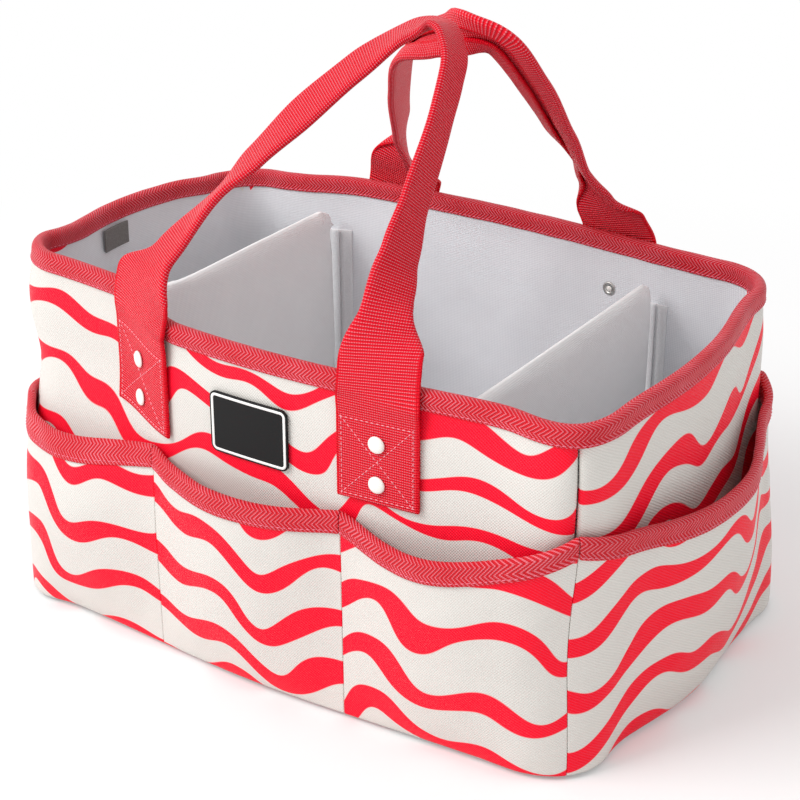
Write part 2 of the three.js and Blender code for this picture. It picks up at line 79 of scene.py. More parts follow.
def eased_along(table: Sequence[tuple[float, float]], share: float) -> float:
    """Looks a share up in a table, eased between its rows.

    Args:
        table: rows of a share and a value, in order.
        share: from 0 to 1.

    Returns:
        The value there.
    """
    for (start, before), (end, after) in zip(table, table[1:]):
        if share <= end:
            return mix(before, after, ease(start, end, share))
    return table[-1][1]


def unevenness(point: Vector, size: float, seed: float) -> float:
    """Smooth seeded noise from -1 to 1.

    Args:
        point: where, in millimetres.
        size: distance over which it changes, in millimetres.
        seed: moves the pattern, so that pieces differ.

    Returns:
        The noise's value there.
    """
    return noise.noise(point / size + Vector((seed, seed * 1.7, -seed)))


def linear(hex_colour: str) -> tuple[float, float, float, float]:
    """Turns an sRGB hex colour into the linear colour that a socket takes.

    Args:
        hex_colour: six digits after a hash.

    Returns:
        Red, green, blue and an alpha of 1.
    """
    values = [int(hex_colour[i : i + 2], 16) / 255 for i in (1, 3, 5)]
    red, green, blue = (v / 12.92 if v <= 0.04045 else ((v + 0.055) / 1.055) ** 2.4 for v in values)
    return red, green, blue, 1.0


def add_node(
    tree: bpy.types.NodeTree, kind: str, inputs: dict[str | int, Any] | None = None, **settings: Any
) -> bpy.types.Node:
    """Adds a shader node with its settings, values and links.

    Args:
        tree: the material's or world's node tree.
        kind: the node's type without its ShaderNode prefix.
        inputs: a number or colour, a node (its first output is linked) or an output, by socket.
        settings: the node's own properties.

    Returns:
        The new node.
    """
    node = tree.nodes.new("ShaderNode" + kind)
    for name, value in settings.items():
        setattr(node, name, value)
    for key, value in (inputs or {}).items():
        if isinstance(value, bpy.types.Node):
            value = value.outputs[0]
        if isinstance(value, bpy.types.NodeSocket):
            tree.links.new(value, node.inputs[key])
        else:
            node.inputs[key].default_value = value
    return node


def calc(tree: bpy.types.NodeTree, operation: str, *values: Any) -> bpy.types.Node:
    """Adds a Math node with its values in order."""
    return add_node(tree, "Math", dict(enumerate(values)), operation=operation)


def blended(tree: bpy.types.NodeTree, share: bpy.types.Node, first: Any, second: Any) -> bpy.types.NodeSocket:
    """Mixes two colours.

    Args:
        tree: the material's node tree.
        share: node that gives the second colour's share.
        first: a hex colour, or another mix's output.
        second: the same.

    Returns:
        The mixed colour.
    """
    low, high = (linear(end) if isinstance(end, str) else end for end in (first, second))
    # Inputs 6 and 7 are the two colours of a colour Mix, and output 2 is its result
    return add_node(tree, "Mix", {0: share, 6: low, 7: high}, data_type="RGBA").outputs[2]


def dress(
    tree: bpy.types.NodeTree,
    shader: bpy.types.Node,
    colour: bpy.types.NodeSocket,
    height: bpy.types.Node,
    relief: tuple[float, float],
) -> None:
    """Gives a shader its colour and its relief.

    Args:
        tree: the material's node tree.
        shader: its Principled node.
        colour: the base colour.
        height: node that gives the relief's height.
        relief: the bump's strength, and its depth in millimetres.
    """
    strength, depth = relief
    tree.links.new(colour, shader.inputs["Base Color"])
    bump = add_node(tree, "Bump", {"Height": height, "Strength": strength, "Distance": depth * MM})
    tree.links.new(bump.outputs[0], shader.inputs["Normal"])


# Finishes


@dataclass(frozen=True)
class Finish:
    """A procedural material, made from what the real one is."""

    name: str
    roughness: float
    sheen: float = 0.0
    metallic: float = 0.0
    gloss: float = 0.5

    def surface(self) -> tuple[bpy.types.Material, bpy.types.NodeTree, bpy.types.Node]:
        """Starts the material.

        Returns:
            The material, its node tree and its Principled node with this finish's constants.
        """
        material = bpy.data.materials.new(self.name)
        material.use_nodes = True
        tree = material.node_tree
        tree.nodes.clear()
        shader = add_node(
            tree,
            "BsdfPrincipled",
            {
                "Roughness": self.roughness,
                "Metallic": self.metallic,
                "Sheen Weight": self.sheen,
                "Specular IOR Level": self.gloss,
            },
        )
        add_node(tree, "OutputMaterial", {"Surface": shader})
        return material, tree, shader

    def make(self) -> bpy.types.Material:
        """Builds the material with nothing but its constants."""
        return self.surface()[0]


def wave_along(
    tree: bpy.types.NodeTree, place: bpy.types.Node, pitch: float, degrees: float
) -> bpy.types.Node:
    """Threads as a sine wave over the cloth.

    Args:
        tree: the material's node tree.
        place: node that gives the place on the cloth in metres.
        pitch: thread spacing in millimetres.
        degrees: direction in which the threads follow each other, from the cloth's width.

    Returns:
        A node whose value runs from -1 to 1.
    """
    turn, per_metre = math.radians(degrees), 2 * math.pi / (pitch * MM)
    step = (per_metre * math.cos(turn), per_metre * math.sin(turn), 0.0)
    phase = add_node(tree, "VectorMath", {0: place, 1: step}, operation="DOT_PRODUCT")
    return calc(tree, "SINE", phase.outputs["Value"])


@dataclass(frozen=True)
class PrintedCanvas(Finish):
    """Woven polyester canvas with screen-printed red waves.

    The weave shows as a fine diagonal hatch. Its grooves get a painted shade on the white, and its crests a
    painted pink sheen on the red, alike on every face, in place of threads that catch the lamp from the
    front.
    """

    white: str = "#e9e6e1"
    # Painted light: the groove colour is painted shade on the white, the crest colour painted sheen on the
    # red
    groove_painted_shade: str = "#d9d5cf"
    red: str = "#fb0023"
    crest_painted_sheen: str = "#f83a5c"
    stripe_pitch: float = 33.0
    short_wave: tuple[float, float] = (64.0, 5.5)
    long_wave: tuple[float, float] = (139.0, 8.0)
    wander: float = 24.0
    thinnest: float = 1.6
    swell: float = 8.0
    thread_pitch: float = 1.35
    twill_angle: float = 52.0
    drift_scale: tuple[float, float, float] = (9.0, 8.0, 0.0)
    swell_scale: tuple[float, float, float] = (24.0, 17.0, 0.0)
    crest_drift: float = 6.0
    crest_lean: float = 7.0
    ink_edge: float = 0.3

    def wave(
        self,
        tree: bpy.types.NodeTree,
        place: bpy.types.Node,
        drift: bpy.types.Node,
        size: tuple[float, float],
    ) -> tuple[bpy.types.Node, bpy.types.Node]:
        """One wave that the stripes follow, whose crests drift apart and together.

        Args:
            tree: the material's node tree.
            place: node that gives the place on the cloth in metres.
            drift: slow noise.
            size: the wave's length and height in millimetres.

        Returns:
            Nodes for its lift in metres and for its slope.
        """
        length, lift = size
        turns = 2 * math.pi / length
        step = (turns / MM, self.crest_lean, 0.0)
        run = add_node(tree, "VectorMath", {0: place, 1: step}, operation="DOT_PRODUCT")
        phase = calc(tree, "MULTIPLY_ADD", drift, self.crest_drift, run.outputs["Value"])
        lifted = calc(tree, "MULTIPLY", calc(tree, "SINE", phase), lift * MM)
        return lifted, calc(tree, "MULTIPLY", calc(tree, "COSINE", phase), lift * turns)

    def stripes(self, tree: bpy.types.NodeTree, place: bpy.types.Node) -> bpy.types.Node:
        """The printed waves, which keep their thickness where they climb.

        Args:
            tree: the material's node tree.
            place: node that gives the place on the cloth in metres.

        Returns:
            A node that is 1 in the red and 0 in the white.
        """
        at = add_node(tree, "VectorMath", {0: place, 1: self.drift_scale}, operation="MULTIPLY")
        slow = {"Vector": at, "Scale": 1.0, "Detail": 1.0, "Roughness": 0.3}
        drift = add_node(tree, "TexNoise", slow, noise_dimensions="2D")
        at = add_node(tree, "VectorMath", {0: place, 1: self.swell_scale}, operation="MULTIPLY")
        plain = {"Vector": at, "Scale": 1.0, "Detail": 0.0}
        swell = add_node(tree, "TexNoise", plain, noise_dimensions="2D")
        short, short_slope = self.wave(tree, place, drift, self.short_wave)
        long, long_slope = self.wave(tree, place, drift, self.long_wave)
        slope = calc(tree, "ADD", short_slope, long_slope)
        # A climbing stripe is cut longer upright, by the root of 1 + slope squared
        longer = calc(tree, "SQRT", calc(tree, "MULTIPLY_ADD", slope, slope, 1.0))
        height = add_node(tree, "SeparateXYZ", {0: place}).outputs["Y"]
        lifted = calc(tree, "ADD", calc(tree, "ADD", short, long), height)
        strayed = calc(tree, "MULTIPLY_ADD", drift, self.wander * MM, lifted)
        share = calc(tree, "FRACT", calc(tree, "DIVIDE", strayed, self.stripe_pitch * MM))
        off_middle = calc(tree, "ABSOLUTE", calc(tree, "SUBTRACT", share, 0.5))
        thinnest, widening = self.thinnest / self.stripe_pitch, self.swell / self.stripe_pitch
        half = calc(tree, "MULTIPLY", calc(tree, "MULTIPLY_ADD", swell, widening, thinnest), longer)
        edge = self.ink_edge / self.stripe_pitch
        ends = {"From Min": -edge, "From Max": edge, "To Min": 1.0, "To Max": 0.0}
        return add_node(tree, "MapRange", {"Value": calc(tree, "SUBTRACT", off_middle, half), **ends})

    def make(self) -> bpy.types.Material:
        """Builds the material with its nodes.

        Returns:
            The material.
        """
        material, tree, shader = self.surface()
        place = add_node(tree, "UVMap", uv_map=CLOTH_UV)
        twill = wave_along(tree, place, self.thread_pitch, self.twill_angle)
        weft = wave_along(tree, place, self.thread_pitch * 0.8, self.twill_angle - 90)
        weave = calc(tree, "MULTIPLY_ADD", weft, 0.45, twill)
        # Share of painted light: 0 in the weave's grooves (painted shade), up to 0.45 on its crests (painted
        # sheen)
        ends = {"From Min": -0.6, "From Max": 1.4, "To Min": 0.0, "To Max": 0.45}
        painted_crest_light = add_node(tree, "MapRange", {"Value": weave, **ends})
        shade = blended(tree, painted_crest_light, self.groove_painted_shade, self.white)
        ink_with_painted_sheen = blended(tree, painted_crest_light, self.red, self.crest_painted_sheen)
        colour = blended(tree, self.stripes(tree, place), shade, ink_with_painted_sheen)
        dress(tree, shader, colour, weave, (0.6, 0.14))
        return material


@dataclass(frozen=True)
class TwillTape(Finish):
    """Polyester herringbone tape, woven narrow and dyed red.

    Its ribs slant one way and the other in bands, thick enough to see one by one, with a painted pale sheen
    on their tops, in patches.
    """

    red: str = "#d20018"
    rib_painted_sheen: str = "#fa93a2"
    rib_pitch: float = 1.7
    slant: float = 42.0
    band: float = 5.3

    def make(self) -> bpy.types.Material:
        """Builds the material with its nodes.

        Returns:
            The material.
        """
        material, tree, shader = self.surface()
        place = add_node(tree, "UVMap", uv_map=CLOTH_UV)
        parts = add_node(tree, "SeparateXYZ", {0: place})
        zigzag = calc(tree, "PINGPONG", parts.outputs["Y"], self.band * MM)
        mirrored = add_node(tree, "CombineXYZ", {"X": parts.outputs["X"], "Y": zigzag})
        ribs = wave_along(tree, mirrored, self.rib_pitch, self.slant)
        yarns = wave_along(tree, mirrored, self.rib_pitch * 0.6, 90 + self.slant)
        height = calc(tree, "MULTIPLY_ADD", yarns, 0.35, ribs)
        # Painted sheen: pale on the ribs' crests, broken into patches by noise
        sheen_patches = add_node(tree, "TexNoise", {"Vector": place, "Scale": 45.0, "Detail": 3.0})
        ends = {"From Min": 0.55, "From Max": 2.2, "To Min": 0.0, "To Max": 0.75}
        top = add_node(tree, "MapRange", {"Value": calc(tree, "MULTIPLY_ADD", sheen_patches, 1.4, height), **ends})
        dress(tree, shader, blended(tree, top, self.red, self.rib_painted_sheen), height, (0.9, 0.3))
        return material


@dataclass(frozen=True)
class RibbedWebbing(Finish):
    """Polyester webbing with ribs across it, woven in red, with a painted pale sheen on its weft.

    The painted sheen shows as rows of pale dashes between the warp threads, and the selvage stays plain red.
    """

    red: str = "#ec0020"
    # The weft colour is a painted sheen on the rib crests; the yarn itself is red
    weft: str = "#fb9aa8"
    rib_pitch: float = 1.45
    warp_pitch: float = 1.3
    half_width: float = 24.0
    selvage: float = 1.6

    def make(self) -> bpy.types.Material:
        """Builds the material with its nodes.

        Returns:
            The material.
        """
        material, tree, shader = self.surface()
        place = add_node(tree, "UVMap", uv_map=CLOTH_UV)
        ribs = wave_along(tree, place, self.rib_pitch, 0)
        warp = wave_along(tree, place, self.warp_pitch, 90)
        dashes = calc(tree, "MULTIPLY_ADD", warp, 0.4, ribs)
        # Painted sheen on the weft's crests, as pale dashes
        ends = {"From Min": 0.35, "From Max": 1.3, "To Min": 0.0, "To Max": 0.7}
        shown = add_node(tree, "MapRange", {"Value": dashes, **ends})
        off_middle = calc(tree, "ABSOLUTE", add_node(tree, "SeparateXYZ", {0: place}).outputs["Y"])
        plain = self.half_width - self.selvage
        ends = {"From Min": plain * MM, "From Max": (plain - 0.6) * MM}
        inside = add_node(tree, "MapRange", {"Value": off_middle, **ends})
        weft_sheen_share = calc(tree, "MULTIPLY", shown, inside)
        dress(tree, shader, blended(tree, weft_sheen_share, self.red, self.weft), dashes, (1.0, 0.35))
        return material


@dataclass(frozen=True)
class PlainCloth(Finish):
    """Plain-woven polyester: an even grid of threads with painted shade in its grooves, and a faint mottle.
    """

    colour: str = "#e6e7ea"
    shade: str = "#d2d4d9"
    thread_pitch: float = 1.1

    def make(self) -> bpy.types.Material:
        """Builds the material with its nodes.

        Returns:
            The material.
        """
        material, tree, shader = self.surface()
        place = add_node(tree, "TexCoord").outputs["Object"]
        per_metre = 2 * math.pi / (self.thread_pitch * MM)
        waves = []
        for step in ((1.0, 1.0, 0.0), (0.0, 0.0, 1.0)):
            turn = tuple(per_metre * part for part in step)
            phase = add_node(tree, "VectorMath", {0: place, 1: turn}, operation="DOT_PRODUCT")
            waves.append(calc(tree, "SINE", phase.outputs["Value"]))
        weave = calc(tree, "ADD", *waves)
        mottle = add_node(tree, "TexNoise", {"Vector": place, "Scale": 60.0, "Detail": 3.0})
        uneven = calc(tree, "MULTIPLY_ADD", mottle, 1.6, weave)
        # The shade colour falls in the weave's grooves (painted shade) and where the mottle is low (the
        # cloth's own tone)
        painted_light_and_mottle = add_node(tree, "MapRange", {"Value": uneven, "From Min": -1.2, "From Max": 2.4})
        dress(tree, shader, blended(tree, painted_light_and_mottle, self.shade, self.colour), uneven, (0.35, 0.15))
        return material


@dataclass(frozen=True)
class Mottled(Finish):
    """A moulded, coated, brushed or fuzzy surface: one colour with a grain of a real size."""

    colour: str = "#808080"
    fleck: str = "#707070"
    grain: float = 0.8
    relief: float = 0.05
    stretch: tuple[float, float, float] = (1.0, 1.0, 1.0)

    def make(self) -> bpy.types.Material:
        """Builds the material with its nodes.

        Returns:
            The material.
        """
        material, tree, shader = self.surface()
        place = add_node(tree, "TexCoord").outputs["Object"]
        at = add_node(tree, "VectorMath", {0: place, 1: self.stretch}, operation="MULTIPLY")
        flecks = {"Vector": at, "Scale": 1 / (self.grain * MM), "Detail": 3.0, "Roughness": 0.6}
        grain = add_node(tree, "TexNoise", flecks)
        dress(tree, shader, blended(tree, grain, self.fleck, self.colour), grain, (0.5, self.relief))
        return material


def made(kind: type[Finish], name: str, roughness: float, **look: Any) -> Any:
    """A field that makes its material when the finishes are set up."""
    return field(default_factory=kind(name, roughness, **look).make)


def mottled(name: str, roughness: float, colour: str, fleck: str, grain: float, **look: Any) -> Any:
    """A field that makes a mottled material; its grain is in millimetres."""
    return made(Mottled, name, roughness, colour=colour, fleck=fleck, grain=grain, **look)


@dataclass
class Finishes:
    """All finishes of the caddy, each made once."""

    canvas: bpy.types.Material = made(PrintedCanvas, "screen_printed_polyester_canvas", 0.42, gloss=0.14)
    tape: bpy.types.Material = made(TwillTape, "woven_twill_tape", 0.4, gloss=0.22)
    webbing: bpy.types.Material = made(RibbedWebbing, "ribbed_polyester_webbing", 0.42, gloss=0.16)
    lining: bpy.types.Material = made(PlainCloth, "plain_woven_lining", 0.75, sheen=0.2)
    pad_cloth: bpy.types.Material = made(
        PlainCloth, "plain_woven_pad_cover", 0.8, sheen=0.2, colour="#f6f6f5", shade="#e6e7e8"
    )
    thread: bpy.types.Material = mottled(
        "spun_polyester_thread", 0.6, "#f7b3bc", "#e8798a", 0.5, sheen=0.2
    )
    red_thread: bpy.types.Material = mottled(
        "spun_polyester_thread_red", 0.6, "#f290a0", "#e0607a", 0.5, gloss=0.25
    )
    enamel: bpy.types.Material = mottled(
        "moulded_white_acetal", 0.34, "#f6f3ee", "#efebe4", 2.5, relief=0.01
    )
    washer_steel: bpy.types.Material = mottled(
        "pressed_steel", 0.36, "#c9c8c4", "#b4b3af", 0.6, metallic=1.0, relief=0.02, stretch=(1.0, 1.0, 12.0)
    )
    patch_black: bpy.types.Material = mottled(
        "moulded_soft_pvc_black", 0.6, "#121213", "#0c0c0d", 0.7, gloss=0.25, relief=0.04
    )
    patch_white: bpy.types.Material = mottled(
        "moulded_soft_pvc_white", 0.5, "#f5f4f2", "#eae9e6", 0.7, relief=0.03
    )
    grey_loop: bpy.types.Material = mottled(
        "napped_nylon_loop_grey", 0.95, "#8b8886", "#605d5b", 0.9, gloss=0.1, relief=0.5
    )
    white_loop: bpy.types.Material = mottled(
        "napped_nylon_loop_white", 0.95, "#f0f0f1", "#d3d4d6", 0.9, gloss=0.1, relief=0.5
    )
    board: bpy.types.Material = mottled(
        "pressed_fibre_board", 0.85, "#9a9ca0", "#7e8085", 1.2, relief=0.1
    )


# Outline of the tub


class Edge(Enum):
    """The four sides of the tub, counter-clockwise from above."""

    FRONT = 0
    RIGHT = 1
    BACK = 2
    LEFT = 3

    @property
    def long(self) -> bool:
        """Whether this is one of the two long sides."""
        return self in (Edge.FRONT, Edge.BACK)


@dataclass(frozen=True)
class Give:
    """One place where the soft tub gives, near one of its corners.

    The reaches are distances from the tub's middle, and the heights are above the table. The give sets in
    between the first of each and the second.
    """

    hand: int
    facing: int
    along: tuple[float, float]
    across: tuple[float, float]
    heights: tuple[float, float]
    move: tuple[float, float, float]

    def shift(self, point: Vector) -> Vector:
        """How far a point of the firm tub moves."""
        share = ease(*self.along, self.hand * point.x) * ease(*self.across, self.facing * point.y)
        return Vector(self.move) * share * ease(*self.heights, point.z)


@dataclass(frozen=True)
class Slump:
    """How far the soft tub gives: its corners lean or spread, and the front rim sags."""

    gives: tuple[Give, ...] = (
        Give(-1, -1, (50, 108), (25, 105), heights=(70, 160), move=(-6, 21, 4)),
        Give(-1, -1, (130, 180), (20, 100), heights=(203, 180), move=(-5, 0, 0)),
        Give(-1, -1, (130, 180), (20, 100), heights=(165, 135), move=(8, 0, 0)),
        Give(-1, -1, (130, 180), (60, 105), heights=(100, 0), move=(1, -6, 0)),
        Give(1, -1, (128, 182), (-10, 78), heights=(60, 190), move=(9, 0, 0)),
        Give(1, -1, (140, 182), (70, 108), heights=(110, 190), move=(1, -9, 0)),
        Give(1, -1, (140, 182), (60, 105), heights=(110, 0), move=(4, 0, 0)),
        Give(1, 1, (128, 180), (15, 100), heights=(140, 0), move=(11, 8, 0)),
        Give(-1, 1, (90, 160), (40, 100), heights=(120, 190), move=(3, -8, -3)),
    )
    rim_sag: float = 3.0
    rim_height: float = 205.0
    fade_height: float = 250.0

    def moved(self, point: Vector) -> Vector:
        """Moves a point of the tub, or of a strap just above it, as the cloth gives.

        Args:
            point: the place on the firm tub, in millimetres.

        Returns:
            The place on the soft one.
        """
        middle = max(0.0, 1 - (point.x / 150) ** 2)
        sag = self.rim_sag * ease(-85, -112, point.y) * middle * ease(60, self.rim_height, point.z)
        whole = sum((give.shift(point) for give in self.gives), Vector((0, 0, -sag)))
        return point + whole * ease(self.fade_height, self.rim_height + 3, point.z)


@dataclass(frozen=True)
class Outline:
    """Plan outline of the tub: four bowed sides joined by round corners.

    A place on it is the distance from the left end of the front's straight stretch.
    """

    body_length: float = 380.0
    body_width: float = 238.0
    corner_radius: float = 36.0
    side_bow: float = 8.0
    end_bow: float = 12.0
    slump: Slump = Slump()

    @property
    def corner_run(self) -> float:
        """Length round one corner."""
        return self.corner_radius * math.pi / 2

    @property
    def perimeter(self) -> float:
        """Length all round."""
        return self.start(Edge.LEFT) + 2 * self.half_run(Edge.LEFT) + self.corner_run

    def half_run(self, edge: Edge) -> float:
        """Half of a side's straight stretch."""
        return (self.body_length if edge.long else self.body_width) / 2 - self.corner_radius

    def start(self, edge: Edge) -> float:
        """Place where a side's straight stretch starts."""
        earlier = list(Edge)[: edge.value]
        return sum(2 * self.half_run(side) + self.corner_run for side in earlier)

    def middle(self, edge: Edge) -> float:
        """Place at the middle of a side."""
        return self.start(edge) + self.half_run(edge)

    def panel(self, edge: Edge) -> tuple[float, float]:
        """Places of the two corner seams on either side of a side."""
        start = self.start(edge)
        return start - self.corner_run / 2, start + 2 * self.half_run(edge) + self.corner_run / 2

    def at(self, place: float) -> tuple[Vector, Vector]:
        """Point of the outline and the direction that faces out there.

        Args:
            place: distance along the outline; it may run past either end.

        Returns:
            The point, in millimetres at height 0, and the unit direction.
        """
        run = place % self.perimeter
        edge = max((side for side in Edge if self.start(side) <= run + 1e-9), key=lambda side: side.value)
        half_run = self.half_run(edge)
        half_depth = (self.body_width if edge.long else self.body_length) / 2
        bow = self.side_bow if edge.long else self.end_bow
        along = run - self.start(edge) - half_run
        if along <= half_run:
            share = along / half_run
            point = Vector((along, -half_depth - bow * (1 - share * share) ** 2, 0))
            out = Vector((4 * bow * share * (1 - share * share) / half_run, -1, 0)).normalized()
        else:
            angle = (along - half_run) / self.corner_radius
            out = Vector((math.sin(angle), -math.cos(angle), 0))
            point = Vector((half_run, self.corner_radius - half_depth, 0)) + out * self.corner_radius
        turn = Matrix.Rotation(edge.value * math.pi / 2, 3, "Z")
        return turn @ point, turn @ out

    def on(self, place: float, distance: float, height: float) -> Vector:
        """Point out from the wall's outer face.

        Args:
            place: distance along the outline.
            distance: how far out, or in where it is negative.
            height: above the table.

        Returns:
            The point in metres, moved as the soft tub gives.
        """
        point, out = self.at(place)
        return self.slump.moved(point + out * distance + Vector((0, 0, height))) * MM

    def faces(self, place: float, height: float) -> Vector:
        """Direction that the soft wall's outer face looks.

        Args:
            place: distance along the outline.
            height: above the table.

        Returns:
            The unit direction.
        """
        right = self.on(place + 2, 0, height) - self.on(place - 2, 0, height)
        above = self.on(place, 0, height + 2) - self.on(place, 0, height - 2)
        return right.cross(above).normalized()

    def inside(self, across: float, up: float, distance: float, height: float) -> Vector:
        """Point on a level sheet that fills the outline.

        Args:
            across: share along X, from 0 to 1.
            up: share along Y, from 0 to 1.
            distance: how far the sheet's edge lies out from the wall's outer face.
            height: above the table.

        Returns:
            The point in metres.
        """
        x, y = 2 * across - 1, 2 * up - 1
        reach = max(abs(x), abs(y), 1e-6)
        if abs(y) >= abs(x):
            edge, share = (Edge.FRONT, x / reach) if y < 0 else (Edge.BACK, -x / reach)
        else:
            edge, share = (Edge.RIGHT, y / reach) if x > 0 else (Edge.LEFT, -y / reach)
        start, end = self.panel(edge)
        point, out = self.at(mix(start, end, (share + 1) / 2))
        rim = (point + out * distance) * reach
        return self.slump.moved(Vector((rim.x, rim.y, height))) * MM


# Sewing room


def lay_cloth(
    columns: int,
    rows: int,
    place: Surface,
    flat: Flat,
    crowded: Callable[[float], float] = lambda share: share,
    looped: bool = False,
) -> bmesh.types.BMesh:
    """Lays a sheet of cloth over a surface.

    Args:
        columns: faces along the sheet.
        rows: faces up the sheet.
        place: point, in metres, at a share along and a share up.
        flat: place on the cut cloth, in metres, at the same shares.
        crowded: gives a column's share along from its even share.
        looped: joins the last column to the first.

    Returns:
        The sheet, with its cloth UV map.
    """
    sheet = bmesh.new()
    uv = sheet.loops.layers.uv.new(CLOTH_UV)
    bmesh.ops.create_grid(sheet, x_segments=columns, y_segments=rows, size=0.5)
    shares = {}
    for vert in sheet.verts:
        across, up = (min(max(part + 0.5, 0.0), 1.0) for part in vert.co.xy)
        shares[vert] = (crowded(across), up)
    for face in sheet.faces:
        for loop in face.loops:
            loop[uv].uv = flat(*shares[loop.vert])
    for vert, (along, up) in shares.items():
        vert.co = place(along, up)
    if looped:
        bmesh.ops.remove_doubles(sheet, verts=sheet.verts, dist=0.02 * MM)
    return sheet


def settle(name: str, shape: bmesh.types.BMesh, *materials: bpy.types.Material) -> bpy.types.Object:
    """Turns a finished bmesh into an object at the origin.

    Args:
        name: the piece's name.
        shape: the mesh, freed here.
        materials: its material slots in order.

    Returns:
        The object, smooth and linked to the scene.
    """
    mesh = bpy.data.meshes.new(name)
    shape.to_mesh(mesh)
    shape.free()
    mesh.polygons.foreach_set("use_smooth", [True] * len(mesh.polygons))
    for material in materials:
        mesh.materials.append(material)
    piece = bpy.data.objects.new(name, mesh)
    bpy.context.scene.collection.objects.link(piece)
    return piece


def split(shape: bmesh.types.BMesh, point: Sequence[float], across: Sequence[float]) -> None:
    """Cuts a row of edges round a shape, so that it can bend there.

    Args:
        shape: the mesh.
        point: a point of the cut.
        across: direction square to the cut.
    """
    whole = shape.verts[:] + shape.edges[:] + shape.faces[:]
    bmesh.ops.bisect_plane(shape, geom=whole, plane_co=point, plane_no=across)


def soften(piece: bpy.types.Object, levels: int) -> None:
    """Rounds a piece off by subdivision."""
    rounded = piece.modifiers.new("softness", "SUBSURF")
    rounded.levels = rounded.render_levels = levels


def round_edges(piece: bpy.types.Object, name: str, width: float) -> None:
    """Takes a piece's sharp edges off, by a width in millimetres."""
    rounding = piece.modifiers.new(name, "BEVEL")
    rounding.width, rounding.segments, rounding.limit_method = width * MM, 2, "ANGLE"


def thicken(
    piece: bpy.types.Object, thickness: float, offset: float, smooth: int = 1, even: bool = True
) -> None:
    """Gives a sheet its thickness and rounds it off.

    Args:
        piece: the sheet's object.
        thickness: in millimetres.
        offset: -1 keeps the sheet as the outer face, 0 as the middle.
        smooth: subdivision levels.
        even: keeps the thickness at creases, where a sheet that folds sharply would throw spikes.
    """
    solid = piece.modifiers.new("thickness", "SOLIDIFY")
    solid.thickness, solid.offset, solid.use_even_offset = thickness * MM, offset, even
    if smooth:
        soften(piece, smooth)


def hand_in(piece: bpy.types.Object, body: str, nodes: Iterable[str] = ()) -> bpy.types.Object:
    """Makes a piece ride on its body in place of the solids that it stands for.

    Args:
        piece: the finished object.
        body: the body that carries it.
        nodes: solids that it replaces.

    Returns:
        The same object.
    """
    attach(piece, body)
    if nodes:
        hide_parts(*nodes)
    LOG.info("%s: %d faces, on %s", piece.name, len(piece.data.polygons), body)
    return piece


@dataclass(frozen=True)
class Stitching:
    """A row of lockstitches: short thick threads, each sunk a little into the cloth."""

    pitch: float = 3.2
    length: float = 2.1
    thickness: float = 0.55
    probe: float = 0.002

    def along(
        self, surface: Surface, marks: Sequence[tuple[float, float]], lift: float
    ) -> list[tuple[Vector, Vector]]:
        """Points and directions out along a row of stitches.

        Args:
            surface: the surface sewn through, in metres.
            marks: shares (along, up) that the row runs through.
            lift: how far the row lies out from the surface, in millimetres.

        Returns:
            Pairs of a point in metres and a unit direction.
        """
        step = self.probe
        found = []
        for across, up in marks:
            right = surface(min(across + step, 1.0), up) - surface(max(across - step, 0.0), up)
            above = surface(across, min(up + step, 1.0)) - surface(across, max(up - step, 0.0))
            out = right.cross(above).normalized()
            found.append((surface(across, up) + out * lift * MM, out))
        return found

    def sew(
        self, name: str, rows: Iterable[list[tuple[Vector, Vector]]], thread: bpy.types.Material
    ) -> bpy.types.Object:
        """Sews rows of stitches into one piece.

        Args:
            name: the piece's name.
            rows: each row's points and directions out.
            thread: the thread's material.

        Returns:
            The stitches' object.
        """
        stitch = bmesh.new()
        bmesh.ops.create_uvsphere(stitch, u_segments=6, v_segments=4, radius=0.5 * MM)
        bmesh.ops.scale(stitch, verts=stitch.verts, vec=(self.thickness, self.thickness, self.length))
        one = bpy.data.meshes.new("one_stitch")
        stitch.to_mesh(one)
        stitch.free()
        sewn = bmesh.new()
        for row in rows:
            since = 0.0
            for (start, out), (end, _) in zip(row, row[1:]):
                run = end - start
                step = run.length
                while since <= step and step > 0:
                    spot, heading = start + run * (since / step), run.normalized()
                    side = out.cross(heading).normalized()
                    turn = Matrix((side, heading.cross(side), heading)).transposed().to_4x4()
                    count = len(sewn.verts)
                    sewn.from_mesh(one)
                    sewn.verts.ensure_lookup_table()
                    bmesh.ops.transform(
                        sewn, matrix=Matrix.Translation(spot) @ turn, verts=sewn.verts[count:]
                    )
                    since += self.pitch * MM
                since -= step
        bpy.data.meshes.remove(one)
        return settle(name, sewn, thread)


def evenly(start: tuple[float, float], end: tuple[float, float], count: int) -> list[tuple[float, float]]:
    """Shares from one (along, up) pair to another in even steps, both ends included."""
    steps = [i / (count - 1) for i in range(count)]
    return [(mix(start[0], end[0], s), mix(start[1], end[1], s)) for s in steps]


# Tub


